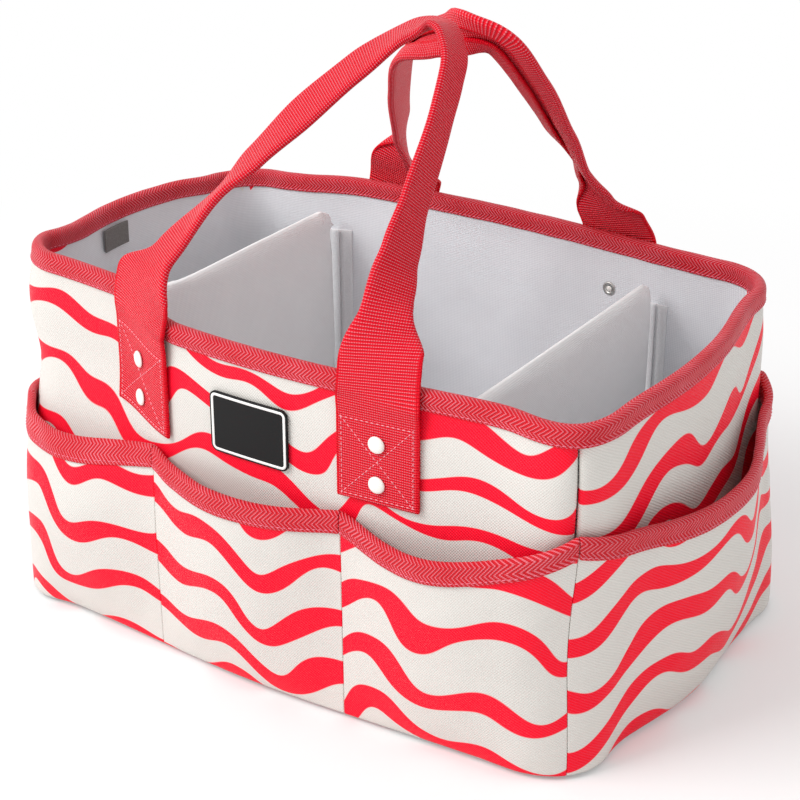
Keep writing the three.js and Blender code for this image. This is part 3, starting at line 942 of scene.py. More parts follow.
@dataclass
class Tub:
    """The sewn tub: base, padded walls, lining and the tape round its rim."""

    outline: Outline
    finishes: Finishes
    rim_height: float = 205.0
    wall_thickness: float = 5.2
    rim_pinch: float = 1.8
    wall_foot: float = 6.3
    wall_top: float = 203.3
    seam_pull: float = 1.3
    floor_height: float = 10.3
    lining_depth: float = 8.0
    hem_height: float = 194.3
    tape_thickness: float = 1.2
    tape_width: float = 32.0
    tape_half: float = 3.3
    tape_middle: float = -4.75
    crown_drop: float = 4.3
    crown_rise: float = 3.7
    crown_roundness: float = 0.85
    stitch_lift: float = 0.68
    print_shifts: dict[Edge, tuple[float, float]] = field(
        default_factory=lambda: {
            Edge.FRONT: (0.0, 0.012),
            Edge.RIGHT: (2.31, 0.004),
            Edge.BACK: (4.07, 0.02),
            Edge.LEFT: (6.13, 0.031),
        }
    )
    print_tilt: float = 0.14

    def base_cloth(self) -> None:
        """Printed base, turned up at its edge."""
        lip = 0.975

        def place(across: float, up: float) -> Vector:
            """Point of the base, level but for its turned-up edge.

            Args:
                across: share along X.
                up: share along Y.

            Returns:
                The point in metres.
            """
            reach = max(abs(2 * across - 1), abs(2 * up - 1))
            rise = max(0.0, (reach - lip) / (1 - lip))
            return self.outline.inside(across, up, -0.6 * (1 - rise), 5.6 * rise**1.5)

        def flat(across: float, up: float) -> tuple[float, float]:
            """Place on the print."""
            return (across * 0.4 + 9.3, up * 0.26 + 0.3)

        piece = settle("base_panel_cloth", lay_cloth(80, 60, place, flat), self.finishes.canvas)
        thicken(piece, 1.6, 1)
        hand_in(piece, "caddy", ["base_panel"])

    def wall(self, edge: Edge) -> None:
        """One padded wall between two corner seams.

        Args:
            edge: which side of the tub.
        """
        start, end = self.outline.panel(edge)
        run = end - start
        shift_u, shift_v = self.print_shifts[edge]

        def place(across: float, up: float) -> Vector:
            """Point of the wall's outer face, pulled in at its seams and under the tape.

            Args:
                across: share from seam to seam.
                up: share from the foot to the rim.

            Returns:
                The point in metres.
            """
            spot, height = mix(start, end, across), mix(self.wall_foot, self.wall_top, up)
            to_seam = min(across, 1 - across) * run
            pulled = self.seam_pull * math.exp(-((to_seam / 5.5) ** 2))
            firm = self.outline.at(spot)[0] + Vector((0, 0, height))
            soft = 0.45 * (1 + unevenness(firm, 38, 3.1 + edge.value)) * ease(0, 25, to_seam)
            pinched = self.rim_pinch * ease(170, self.hem_height, height)
            return self.outline.on(spot, -pulled - soft - pinched, height)

        tilt = 0.0 if edge.long else self.print_tilt

        def flat(across: float, up: float) -> tuple[float, float]:
            """Place on the print."""
            height = up * (self.wall_top - self.wall_foot) - tilt * across * run
            return (across * run * MM + shift_u, height * MM + shift_v)

        side = edge.name.lower()
        columns = 72 if edge.long else 52
        piece = settle(f"{side}_wall_pad", lay_cloth(columns, 34, place, flat), self.finishes.canvas)
        thicken(piece, self.wall_thickness, -1)
        hand_in(piece, "caddy", [f"{side}_wall"])

    def lining(self) -> None:
        """Loose lining of the walls, and its floor."""
        perimeter = self.outline.perimeter
        top, foot = self.wall_top, self.floor_height

        def side_at(across: float, up: float) -> Vector:
            """Point of the loose lining of the walls.

            Args:
                across: share round the tub.
                up: share from the floor to the rim.

            Returns:
                The point in metres.
            """
            spot, height = across * perimeter, mix(foot, top, up)
            firm = self.outline.at(spot)[0] + Vector((0, 0, height))
            slack = ease(0, 0.2, up) * ease(1, 0.8, up)
            loose = 0.7 * (1 + unevenness(firm, 33, 7.7)) * slack
            cove = 5 * (1 - ease(0, 0.06, up))
            pinched = 1.1 * ease(170, self.hem_height, height)
            return self.outline.on(spot, pinched - self.lining_depth - loose - cove, height)

        def side_flat(across: float, up: float) -> tuple[float, float]:
            """Place on the cut lining of the walls."""
            return (across * perimeter * MM, up * (top - foot) * MM)

        sides = settle(
            "lining_sides", lay_cloth(220, 26, side_at, side_flat, looped=True), self.finishes.lining
        )
        thicken(sides, 1.0, 0)
        hand_in(sides, "caddy", ["lining"])

        def floor_at(across: float, up: float) -> Vector:
            """Point of the lining's floor."""
            return self.outline.inside(across, up, -self.lining_depth - 4.2, foot + 0.2)

        def floor_flat(across: float, up: float) -> tuple[float, float]:
            """Place on the cut lining of the floor."""
            return (across * 0.37, up * 0.23)

        floor = settle("lining_floor", lay_cloth(48, 32, floor_at, floor_flat), self.finishes.lining)
        thicken(floor, 1.0, 0)
        hand_in(floor, "caddy")

    def rim_at(self, across: float, over: float) -> Vector:
        """Point of the rim tape.

        Args:
            across: share round the rim.
            over: share from the outer hem over the rim to the inner hem.

        Returns:
            The point in metres.
        """
        half, crown = self.tape_half, self.rim_height - self.crown_drop
        spot = across * self.outline.perimeter
        if over < 0.25 or over > 0.75:
            share = over / 0.25 if over < 0.5 else (1 - over) / 0.25
            out, height = (half if over < 0.5 else -half), mix(self.hem_height, crown, share)
        else:
            angle = (over - 0.25) * 2 * math.pi
            cosine, sine = math.cos(angle), math.sin(angle)
            out = half * math.copysign(abs(cosine) ** self.crown_roundness, cosine)
            height = crown + self.crown_rise * abs(sine) ** self.crown_roundness
        firm = self.outline.at(spot)[0] + Vector((0, 0, height))
        puff = 0.2 * unevenness(firm, 14, 2.2)
        return self.outline.on(spot, self.tape_middle + out + puff, height + puff)

    def rim(self) -> None:
        """Twill tape folded over the rim, with its row of stitches."""
        perimeter = self.outline.perimeter

        def flat(across: float, over: float) -> tuple[float, float]:
            """Place on the cut tape."""
            return (across * perimeter * MM, over * self.tape_width * MM)

        sheet = lay_cloth(330, 28, self.rim_at, flat, looped=True)
        piece = settle("rim_tape", sheet, self.finishes.tape)
        thicken(piece, self.tape_thickness, 0)
        hand_in(piece, "caddy", ["rim_binding"])
        stitching = Stitching()
        rows = []
        for over in (0.055, 0.945):
            marks = evenly((0, over), (1, over), 700)
            rows.append(stitching.along(self.rim_at, marks, self.stitch_lift))
        stitches = stitching.sew("rim_stitches", rows, self.finishes.red_thread)
        hand_in(stitches, "caddy")

    def build(self) -> None:
        """Builds the whole tub."""
        self.base_cloth()
        for edge in Edge:
            self.wall(edge)
        self.lining()
        self.rim()
        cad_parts["base_board"].data.materials.clear()
        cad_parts["base_board"].data.materials.append(self.finishes.board)


# Pockets


@dataclass
class Pocket:
    """A printed sheet sewn down its sides and foot, with tape over its mouth."""

    outline: Outline
    finishes: Finishes
    name: str
    start: float
    end: float
    mouths: tuple[float, float]
    swell: float
    sag: float
    print_shift: tuple[float, float]
    print_tilt: float = 0.0
    seed: float = 0.0
    foot: float = 2.0
    thickness: float = 2.0
    face_lift: float = 2.2
    tape_drop: float = 11.0
    tape_thickness: float = 1.2
    tape_width: float = 29.0
    tape_half: float = 1.95
    tape_leg: float = 0.38
    stitch_lift: float = 0.68

    @property
    def run(self) -> float:
        """Length along the wall between the two seams."""
        return self.end - self.start

    def mouth_at(self, across: float) -> float:
        """Height of the mouth."""
        return mix(*self.mouths, across) - 4 * self.sag * across * (1 - across)

    def face_at(self, across: float, up: float) -> float:
        """How far the sheet's inner face stands out from the wall.

        Args:
            across: share from seam to seam.
            up: share from the foot to the mouth.

        Returns:
            The distance in millimetres.
        """
        between = (1 - (2 * across - 1) ** 2) ** 1.6
        risen = max(0.0, math.sin(math.pi * 0.62 * up)) ** 0.6
        return 0.3 + 1.7 * up + self.swell * between * risen

    def on(self, across: float, up: float, lift: float) -> Vector:
        """Point of the soft sheet, or out from it.

        Args:
            across: share from seam to seam.
            up: share from the foot to the mouth.
            lift: distance out from the sheet's inner face.

        Returns:
            The point in metres.
        """
        spot = mix(self.start, self.end, across)
        height = mix(self.foot, self.mouth_at(across), up)
        firm = self.outline.at(spot)[0] + Vector((0, 0, height))
        free = ease(0, 0.12, across) * ease(1, 0.88, across) * ease(0, 0.1, up)
        soft = 0.8 * unevenness(firm, 30, self.seed) + 0.4 * unevenness(firm, 13, self.seed + 5)
        return self.outline.on(spot, self.face_at(across, up) + lift + soft * free, height)

    def sheet_at(self, across: float, up: float) -> Vector:
        """Point of the sheet's outer face."""
        return self.on(across, up, self.face_lift)

    def tape_at(self, across: float, over: float) -> Vector:
        """Point of the mouth tape.

        Args:
            across: share from seam to seam.
            over: share from the outer hem over the edge to the inner hem.

        Returns:
            The point in metres.
        """
        middle, half, leg = self.face_lift / 2, self.tape_half, self.tape_leg
        drop = self.tape_drop / (self.mouth_at(across) - self.foot)
        if over < leg:
            return self.on(across, 1 - drop * (1 - over / leg), middle + half)
        if over > 1 - leg:
            return self.on(across, 1 - drop * (1 - (1 - over) / leg), middle - half)
        angle = (over - leg) / (1 - 2 * leg) * math.pi
        edge = self.on(across, 1.0, middle + half * math.cos(angle))
        return edge + Vector((0, 0, 1.6 * math.sin(angle) * MM))

    def build(self) -> None:
        """Builds the sheet, its tape and the tape's stitches."""
        tallest = max(self.mouths) - self.foot
        shift_u, shift_v = self.print_shift

        def crowded(share: float) -> float:
            """Share along that crowds the columns towards both seams."""
            return mix(share, (1 - math.cos(math.pi * share)) / 2, 0.7)

        def flat(across: float, up: float) -> tuple[float, float]:
            """Place on the print."""
            height = up * (self.mouth_at(across) - self.foot) - self.print_tilt * across * self.run
            return (across * self.run * MM + shift_u, height * MM + shift_v)

        columns = 56 if self.run < 160 else 84
        sheet = lay_cloth(columns, 36, self.sheet_at, flat, crowded)
        piece = settle(f"{self.name}_sheet", sheet, self.finishes.canvas)
        thicken(piece, self.thickness, -1)
        self.run * (sum(self.mouths) / 2 - self.foot - self.sag * 2 / 3) * MM * MM
        hand_in(piece, "caddy", [self.name])

        def tape_flat(across: float, over: float) -> tuple[float, float]:
            """Place on the cut tape."""
            return (across * self.run * MM + shift_u, over * self.tape_width * MM)

        folded = lay_cloth(columns, 18, self.tape_at, tape_flat)
        tape = settle(f"{self.name}_tape", folded, self.finishes.tape)
        thicken(tape, self.tape_thickness, 0)
        hand_in(tape, "caddy", [f"{self.name}_binding"])
        stitching = Stitching()
        rows = []
        for over in (0.075, 0.925):
            marks = evenly((0.01, over), (0.99, over), int(self.run))
            rows.append(stitching.along(self.tape_at, marks, self.stitch_lift))
        stitches = stitching.sew(f"{self.name}_stitches", rows, self.finishes.red_thread)
        hand_in(stitches, "caddy")


@dataclass
class Pockets:
    """Three pockets along each long side and one over each end, pulled down at the front left corner."""

    outline: Outline
    finishes: Finishes
    corner_mouth: float = 144.0
    low_corner_mouth: float = 117.0
    seam_mouth: float = 126.0
    seam_shifts: tuple[float, float] = (-7.0, -3.0)
    long_swell: float = 14.0
    right_swell: float = 16.0
    left_swell: float = 5.0
    end_sag: float = 13.0
    end_tilt: float = 0.14
    sags: dict[str, float] = field(default_factory=lambda: {"left": 7.0, "middle": 3.0, "right": 15.0})

    def build(self) -> None:
        """Builds all eight pockets."""
        for edge in (Edge.FRONT, Edge.BACK):
            front = edge is Edge.FRONT
            start, end = self.outline.panel(edge)
            third = (end - start) / 3
            first, second = self.seam_shifts if front else (0.0, 0.0)
            seams = (start, start + third + first, start + 2 * third + second, end)
            low = self.low_corner_mouth if front else self.corner_mouth
            mouths = (low, self.seam_mouth, self.seam_mouth, self.corner_mouth)
            parts = ("left", "middle", "right") if front else ("right", "middle", "left")
            for i, part in enumerate(parts):
                Pocket(
                    self.outline,
                    self.finishes,
                    f"{edge.name.lower()}_{part}_pocket",
                    seams[i],
                    seams[i + 1],
                    (mouths[i], mouths[i + 1]),
                    self.long_swell,
                    self.sags[part],
                    (11.0 + 1.37 * i + 5 * edge.value, 0.013 * i),
                    seed=i + 4.0 * edge.value,
                ).build()
        for edge in (Edge.RIGHT, Edge.LEFT):
            start, end = self.outline.panel(edge)
            right = edge is Edge.RIGHT
            Pocket(
                self.outline,
                self.finishes,
                f"{edge.name.lower()}_end_pocket",
                start,
                end,
                (self.corner_mouth, self.corner_mouth if right else self.low_corner_mouth),
                self.right_swell if right else self.left_swell,
                self.end_sag,
                (17.0 + 2.3 * edge.value, 0.02),
                self.end_tilt,
                seed=9.0 + edge.value,
            ).build()


# Straps


@dataclass(frozen=True)
class Lie:
    """How a strap lies: its route, how it turns about its own line, and where its edges fold in.

    Roots are where its two sewn ends stand along the wall. The route is in shares of half the spacing and of
    the reach. Turns are pairs of a share of the loop and a share of a right angle, and folds are pairs of a
    share of the loop and how far the edges are folded in.
    """

    roots: tuple[float, float]
    route: tuple[tuple[float, float], ...]
    turn: tuple[tuple[float, float], ...]
    fold: tuple[tuple[float, float], ...]


@dataclass
class Strap:
    """One webbing strap: sewn flat at both ends, its edges folded in behind to a narrow grip."""

    outline: Outline
    finishes: Finishes
    edge: Edge
    lie: Lie
    width: float = 48.0
    thickness: float = 2.1
    spacing: float = 158.0
    reach: float = 190.0
    tab_foot: float = 137.0
    hem_height: float = 193.0
    hinge_out: float = 131.489
    hinge_height: float = 204.5
    grip_width: float = 25.0
    grip_gap: float = 1.6
    bend_radius: float = 1.25
    columns: int = 260
    rows: int = 28
    samples: list[tuple[float, Vector]] = field(default_factory=list)
    loop: tuple[float, float] = (0.0, 1.0)

    @property
    def facing(self) -> int:
        """-1 for the front strap and 1 for the back one."""
        return -1 if self.edge is Edge.FRONT else 1

    @property
    def lean(self) -> float:
        """Angle in from upright at which the two grips meet."""
        return math.asin((self.hinge_out - (self.grip_width + self.grip_gap) / 2) / self.reach)

    @property
    def outward(self) -> Vector:
        """Direction that the loop's outer face looks."""
        return Vector((0, self.facing * math.cos(self.lean), math.sin(self.lean)))

    def tab_point(self, hand: int, height: float) -> Vector:
        """Middle of a sewn end, stepping out over the rim tape.

        Args:
            hand: 0 for the left end and 1 for the right one.
            height: above the table.

        Returns:
            The point in millimetres.
        """
        point, out = self.outline.at(self.outline.middle(self.edge) - self.facing * self.lie.roots[hand])
        step = ease(self.hem_height - 6, self.hem_height - 0.5, height)
        return point + out * mix(1.5, 2.1, step) + Vector((0, 0, height))

    def lay_route(self) -> None:
        """Samples the strap's middle line from one sewn end over the loop to the other."""
        lift = Vector((0, -self.facing * math.sin(self.lean), math.cos(self.lean)))
        hinge = Vector((0, self.facing * self.hinge_out, self.hinge_height))
        heights = [self.tab_foot - 6, self.tab_foot, 150, 165, 180, 186.5, 192.5, 198]
        left = [self.tab_point(0, height) for height in heights]
        right = [self.tab_point(1, height) for height in reversed(heights)]
        middle = [
            hinge + Vector((side * self.spacing / 2, 0, 0)) + lift * up * self.reach
            for side, up in self.lie.route
        ]
        knots = left + middle + right
        length, samples, marks = 0.0, [], []
        for i in range(1, len(knots) - 2):
            if i in (len(left) - 1, len(knots) - len(right)):
                marks.append(length)
            for step in range(24):
                point = self.between(knots[i - 1 : i + 3], step / 24)
                if samples:
                    length += (point - samples[-1][1]).length
                samples.append((length, point))
        last = knots[-2]
        samples.append((length + (last - samples[-1][1]).length, last))
        self.samples, self.loop = samples, (marks[0], marks[1])

    def between(self, knots: Sequence[Vector], share: float) -> Vector:
        """Point on the smooth curve between the middle two of four knots.

        Args:
            knots: the four, in order.
            share: from 0 at the second to 1 at the third.

        Returns:
            The point.
        """
        times = [0.0]
        for a, b in zip(knots, knots[1:]):
            times.append(times[-1] + max((b - a).length, 1e-6) ** 0.5)
        at = mix(times[1], times[2], share)
        ends = [0, 1, 2], [1, 2, 3]
        points = [knots[i].lerp(knots[j], (at - times[i]) / (times[j] - times[i])) for i, j in zip(*ends)]
        points = [points[i].lerp(points[i + 1], (at - times[i]) / (times[i + 2] - times[i])) for i in (0, 1)]
        return points[0].lerp(points[1], share)

    def middle_at(self, distance: float) -> Vector:
        """Point of the middle line.

        Args:
            distance: along it from the left sewn end.

        Returns:
            The point in millimetres.
        """
        low, high = 0, len(self.samples) - 1
        while high - low > 1:
            half = (low + high) // 2
            if self.samples[half][0] <= distance:
                low = half
            else:
                high = half
        (start, first), (end, last) = self.samples[low], self.samples[high]
        return first.lerp(last, (distance - start) / max(end - start, 1e-9))

    def folded(self, across: float, fold: float) -> tuple[float, float]:
        """Section of the strap, whose two creases run in slantwise from its edges.

        Args:
            across: signed distance from the strap's middle line, on the flat cloth.
            fold: 0 flat to 1 with both edges folded over to the middle.

        Returns:
            Distance sideways and distance behind the outer face.
        """
        radius = self.bend_radius
        flat_half = mix(self.width / 2, self.grip_width / 2 - radius, fold)
        past, side = abs(across) - flat_half, math.copysign(1.0, across)
        if past <= 0:
            return across, 0.0
        angle = min(past / radius, math.pi * 0.985)
        rest = past - angle * radius
        sideways = flat_half + radius * math.sin(angle) + rest * math.cos(angle)
        return side * sideways, radius * (1 - math.cos(angle)) + rest * math.sin(angle)

    def at(self, along: float, across: float) -> Vector:
        """Point of the strap's middle layer.

        Args:
            along: share of its whole length.
            across: share of its width.

        Returns:
            The point in metres.
        """
        total = self.samples[-1][0]
        distance = along * total
        point = self.middle_at(distance)
        ahead, before = self.middle_at(min(distance + 1.5, total)), self.middle_at(max(distance - 1.5, 0))
        tangent = (ahead - before).normalized()
        start, end = self.loop
        share = min(max((distance - start) / (end - start), 0.0), 1.0)
        place = self.outline.middle(self.edge) - self.facing * self.lie.roots[share >= 0.5]
        rising = ease(0.0, 18.0, min(distance - start, end - distance))
        outward = self.outline.at(place)[1].lerp(self.outward, rising)
        wide = outward.cross(tangent).normalized()
        outward = tangent.cross(wide).normalized()
        fold = eased_along(self.lie.fold, share)
        turn = math.pi / 2 * eased_along(self.lie.turn, share)
        wide, outward = (
            wide * math.cos(turn) + outward * math.sin(turn),
            outward * math.cos(turn) - wide * math.sin(turn),
        )
        sideways, behind = self.folded((across - 0.5) * self.width, fold)
        return self.outline.slump.moved(point + wide * sideways - outward * behind) * MM

    def stitch_rows(self) -> list[list[tuple[Vector, Vector]]]:
        """Rows of stitches: a crossed box on each sewn end.

        Returns:
            Each row's points and directions out.
        """
        stitching, total = Stitching(pitch=3.0, length=1.9), self.samples[-1][0]
        rows = []
        for hand in (0, 1):
            low, high, side = 3.0 / total, 46.5 / total, 3.4 / self.width
            if hand:
                low, high = 1 - low, 1 - high
            corners = [(low, side), (high, side), (high, 1 - side), (low, 1 - side)]
            pairs = list(zip(corners, corners[1:] + corners[:1]))
            pairs += [(corners[0], corners[2]), (corners[1], corners[3])]
            rows += [stitching.along(self.at, evenly(a, b, 40), self.thickness / 2 + 0.08) for a, b in pairs]
        return rows

    def build(self) -> None:
        """Builds the strap and its stitches."""
        self.lay_route()
        total = self.samples[-1][0]

        def flat(along: float, across: float) -> tuple[float, float]:
            """Place on the flat webbing, measured from its middle line."""
            return (along * total * MM, (across - 0.5) * self.width * MM)

        side = self.edge.name.lower()
        sheet = lay_cloth(self.columns, self.rows, self.at, flat)
        piece = settle(f"{side}_strap", sheet, self.finishes.webbing)
        thicken(piece, self.thickness, 0, even=False)
        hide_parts(f"{side}_handle", f"{side}_handle_tab_left", f"{side}_handle_tab_right")
        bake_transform(piece)
        LOG.info("%s: %d faces, bends between caddy and handle", piece.name, len(piece.data.polygons))
        stitches = Stitching(pitch=3.0, length=1.9).sew(
            f"{side}_strap_stitches", self.stitch_rows(), self.finishes.thread
        )
        hand_in(stitches, "caddy")


# Fastenings and patch


@dataclass
class Rivets:
    """Two domed rivets through each sewn strap end, with a washer behind each."""

    outline: Outline
    finishes: Finishes
    cap_radius: float = 4.75
    cap_height: float = 2.3
    seat: float = 2.7
    tail: float = 9.8
    washer_radius: float = 4.25
    heights: tuple[tuple[str, float], ...] = (("lower", 149.0), ("upper", 172.0))

    def turned(
        self,
        name: str,
        profile: Sequence[tuple[float, float]],
        place: float,
        height: float,
        finish: bpy.types.Material,
    ) -> bpy.types.Object:
        """Spins a profile round the rivet's own line.

        Args:
            name: the piece's name.
            profile: pairs of a radius and a distance out from the wall.
            place: where on the outline.
            height: above the table.
            finish: its material.

        Returns:
            The closed round piece.
        """
        shape = bmesh.new()
        verts = [shape.verts.new((radius * MM, 0, out * MM)) for radius, out in profile]
        edges = [shape.edges.new(pair) for pair in zip(verts, verts[1:])]
        bmesh.ops.spin(
            shape,
            geom=verts + edges,
            cent=(0, 0, 0),
            axis=(0, 0, 1),
            angle=2 * math.pi,
            steps=28,
            use_merge=True,
        )
        bmesh.ops.remove_doubles(shape, verts=shape.verts, dist=0.005 * MM)
        bmesh.ops.recalc_face_normals(shape, faces=shape.faces)
        out = self.outline.faces(place, height)
        turn = Vector((0, 0, 1)).rotation_difference(out).to_matrix().to_4x4()
        move = Matrix.Translation(self.outline.on(place, 0, height))
        bmesh.ops.transform(shape, matrix=move @ turn, verts=shape.verts)
        return settle(name, shape, finish)

    def build(self) -> None:
        """Builds all eight rivets and washers."""
        cap = [(0.001, -self.tail), (1.7, -self.tail), (1.7, self.seat), (self.cap_radius - 0.5, self.seat)]
        for step in range(9):
            angle = step / 8 * math.pi / 2
            out = self.seat + 0.5 + (self.cap_height - 0.5) * math.sin(angle)
            cap.append((self.cap_radius * math.cos(angle) ** 0.8, out))
        cap[-1] = (0.001, cap[-1][1])
        ring = self.washer_radius
        washer = [
            (2.1, -self.tail), (ring - 0.3, -self.tail - 0.05), (ring, 0.35 - self.tail),
            (ring - 0.3, 0.9 - self.tail), (2.1, 1 - self.tail), (2.1, -self.tail),
        ]
        for edge, lie in ((Edge.FRONT, FRONT_LIE), (Edge.BACK, BACK_LIE)):
            for root, word in zip(lie.roots, ("left", "right")):
                place = self.outline.middle(edge) + (root if edge is Edge.FRONT else -root)
                for level, height in self.heights:
                    node = f"{edge.name.lower()}_{word}_{level}_rivet"
                    dome = self.turned(f"{node}_dome", cap, place, height, self.finishes.enamel)
                    hand_in(dome, "caddy", [node])
                    back = self.turned(f"{node}_washer", washer, place, height, self.finishes.washer_steel)
                    hand_in(back, "caddy", [f"{node}_back"])


@dataclass
class NamePatch:
    """Soft black patch with a raised white line set in from its edge, its face left bare."""

    outline: Outline
    finishes: Finishes
    width: float = 50.0
    height: float = 36.0
    corner: float = 4.2
    thickness: float = 1.3
    middle_height: float = 159.0
    border: float = 1.0
    line: float = 1.5
    line_rise: float = 0.25

    def build(self) -> None:
        """Builds the patch, curved to the wall."""
        plate = bmesh.new()
        bmesh.ops.create_grid(plate, x_segments=1, y_segments=1, size=0.5)
        bmesh.ops.scale(plate, verts=plate.verts, vec=(self.width, self.height, 1))
        bmesh.ops.bevel(
            plate,
            geom=plate.verts[:],
            offset=self.corner,
            segments=8,
            profile=0.5,
            affect="VERTICES",
            material=-1,
        )
        top = plate.faces[:]
        raised = bmesh.ops.extrude_face_region(plate, geom=top)["geom"]
        verts = [item for item in raised if isinstance(item, bmesh.types.BMVert)]
        bmesh.ops.translate(plate, verts=verts, vec=(0, 0, self.thickness))
        face = [item for item in raised if isinstance(item, bmesh.types.BMFace)]
        bmesh.ops.inset_region(plate, faces=face, thickness=self.border, depth=0.0)
        ring = bmesh.ops.inset_region(plate, faces=face, thickness=self.line, depth=0.0)["faces"]
        for part in ring:
            part.material_index = 1
        bmesh.ops.inset_region(plate, faces=ring, thickness=0.25, depth=self.line_rise)
        bmesh.ops.recalc_face_normals(plate, faces=plate.faces)
        for cut in range(1, 10):
            split(plate, (self.width * (cut / 10 - 0.5), 0, 0), (1, 0, 0))
        middle = self.outline.middle(Edge.FRONT)
        for vert in plate.verts:
            x, y, z = vert.co
            vert.co = self.outline.on(middle + x, 0.2 + z, self.middle_height + y)
        piece = settle("bare_patch", plate, self.finishes.patch_black, self.finishes.patch_white)
        round_edges(piece, "moulded_edge", 0.25)
        hand_in(piece, "caddy", ["name_patch"])


# Dividers


@dataclass(frozen=True)
class Stuffing:
    """Fills a closed cover by cloth simulation, with a cap on how far any point may swell."""

    voxel: float = 3.2
    pressure: float = 4.0
    frames: int = 20
    cap: float = 1.6

    def fill(self, piece: bpy.types.Object) -> None:
        """Swells the piece and leaves no simulation on it.

        Args:
            piece: a closed mesh, a little smaller than the pad.
        """
        remesh = piece.modifiers.new("even_cloth", "REMESH")
        remesh.mode, remesh.voxel_size = "VOXEL", self.voxel * MM
        self.apply(piece)
        slack = [vert.co.copy() for vert in piece.data.vertices]
        cloth = piece.modifiers.new("stuffing", "CLOTH")
        cloth.settings.use_pressure = True
        cloth.settings.uniform_pressure_force = self.pressure
        cloth.settings.effector_weights.gravity = 0.0
        cloth.point_cache.frame_start, cloth.point_cache.frame_end = 1, self.frames
        scene = bpy.context.scene
        for number in range(1, self.frames + 1):
            scene.frame_set(number)
        self.apply(piece)
        scene.frame_set(1)
        for vert, before in zip(piece.data.vertices, slack):
            move = vert.co - before
            if move.length > self.cap * MM:
                vert.co = before + move.normalized() * self.cap * MM

    def apply(self, piece: bpy.types.Object) -> None:
        """Bakes the piece's modifiers into its mesh.

        Args:
            piece: the object to bake.
        """
        baked = bpy.data.meshes.new_from_object(piece.evaluated_get(bpy.context.evaluated_depsgraph_get()))
        piece.modifiers.clear()
        piece.data = baked


@dataclass
class Dividers:
    """Two padded panels across the tub, held by hook strips at their ends."""

    outline: Outline
    finishes: Finishes
    middle_x: float = 111.5
    half_span: float = 108.4
    foot: float = 11.4
    top: float = 191.0
    thickness: float = 7.0
    corner: float = 12.0
    strip_foot: float = 51.1
    strip_height: float = 119.9
    strip_thickness: float = 1.2
    hook_width: float = 5.0
    loop_width: float = 20.0

    def pad(self, hand: int, word: str) -> None:
        """One stuffed panel.

        Args:
            hand: -1 for the left one and 1 for the right one.
            word: its side in its name.
        """
        slim, edge = self.thickness - 2.6, 1.4
        panel = bmesh.new()
        bmesh.ops.create_cube(panel, size=1)
        height = self.top - self.foot - 2 * edge
        size = (slim * MM, 2 * (self.half_span - edge) * MM, height * MM)
        bmesh.ops.scale(panel, verts=panel.verts, vec=size)
        tops = []
        for side in panel.edges:
            first, second = (vert.co for vert in side.verts)
            if abs(first.x - second.x) > 1e-5 and first.z > 0:
                tops.append(side)
        bmesh.ops.bevel(
            panel, geom=tops, offset=self.corner * MM, segments=6, profile=0.5, affect="EDGES", material=-1
        )
        middle = (hand * self.middle_x * MM, 0, (self.top + self.foot) / 2 * MM)
        bmesh.ops.translate(panel, verts=panel.verts, vec=middle)
        for cut in range(1, 12):
            split(panel, (0, (cut / 6 - 1) * self.half_span * MM, 0), (0, 1, 0))
            split(panel, (0, 0, mix(self.foot, self.top, cut / 12) * MM), (0, 0, 1))
        for vert in panel.verts:
            vert.co = self.outline.slump.moved(vert.co / MM) * MM
        piece = settle(f"{word}_divider_pad", panel, self.finishes.pad_cloth)
        Stuffing().fill(piece)
        piece.data.polygons.foreach_set("use_smooth", [True] * len(piece.data.polygons))
        if not piece.data.materials:
            piece.data.materials.append(self.finishes.pad_cloth)
        soften(piece, 1)
        hand_in(piece, f"{word}_divider", [f"{word}_divider"])

    def strip(self, name: str, place: Surface, node: str, body: str) -> None:
        """One hook or loop strip laid on a surface.

        Args:
            name: the strip's name.
            place: the surface.
            node: the solid that it replaces.
            body: the body that carries it.
        """
        white = node != "left_end_loop_strip"
        sheet = lay_cloth(8, 40, place, lambda across, up: (across * 0.02, up * 0.12))
        piece = settle(name, sheet, self.finishes.white_loop if white else self.finishes.grey_loop)
        thicken(piece, self.strip_thickness, -1, smooth=0)
        round_edges(piece, "napped_edge", 0.35)
        hand_in(piece, body, [node])

    def build(self) -> None:
        """Builds the pads, their strips and the loop strips on the lining."""
        for hand, word in ((-1, "left"), (1, "right")):
            self.pad(hand, word)
            for end, edge in (("front", Edge.FRONT), ("back", Edge.BACK)):
                sign = -1 if edge is Edge.FRONT else 1

                def hook_at(across: float, up: float, hand: int = hand, sign: int = sign) -> Vector:
                    """Point of the hook strip on the panel's end.

                    Args:
                        across: share across the strip.
                        up: share up the strip.
                        hand: the panel's side of the tub.
                        sign: -1 at the front and 1 at the back.

                    Returns:
                        The point in metres.
                    """
                    x = hand * self.middle_x - sign * (across - 0.5) * self.hook_width
                    y = sign * (self.half_span + 0.3 + self.strip_thickness)
                    z = self.strip_foot + up * self.strip_height
                    return self.outline.slump.moved(Vector((x, y, z))) * MM

                body = f"{word}_divider"
                self.strip(f"{body}_{end}_hooks", hook_at, f"{body}_hook_strip_{end}", body)
                middle = self.outline.middle(edge) - sign * hand * self.middle_x

                def loop_at(across: float, up: float, middle: float = middle) -> Vector:
                    """Point of the loop strip on the lining behind it."""
                    spot = middle - (across - 0.5) * self.loop_width
                    return self.outline.on(spot, -10.3, self.strip_foot + up * self.strip_height)

                self.strip(f"{word}_{end}_loops", loop_at, f"{word}_loop_strip_{end}", "caddy")
        end_middle = self.outline.middle(Edge.LEFT) + 8

        def end_loop_at(across: float, up: float) -> Vector:
            """Point of the loop strip under the rim tape of the left end."""
            return self.outline.on(end_middle - (across - 0.5) * 24, -10.6, 178.7 + up * 14)

        self.strip("left_end_loops", end_loop_at, "left_end_loop_strip", "caddy")


# Studio


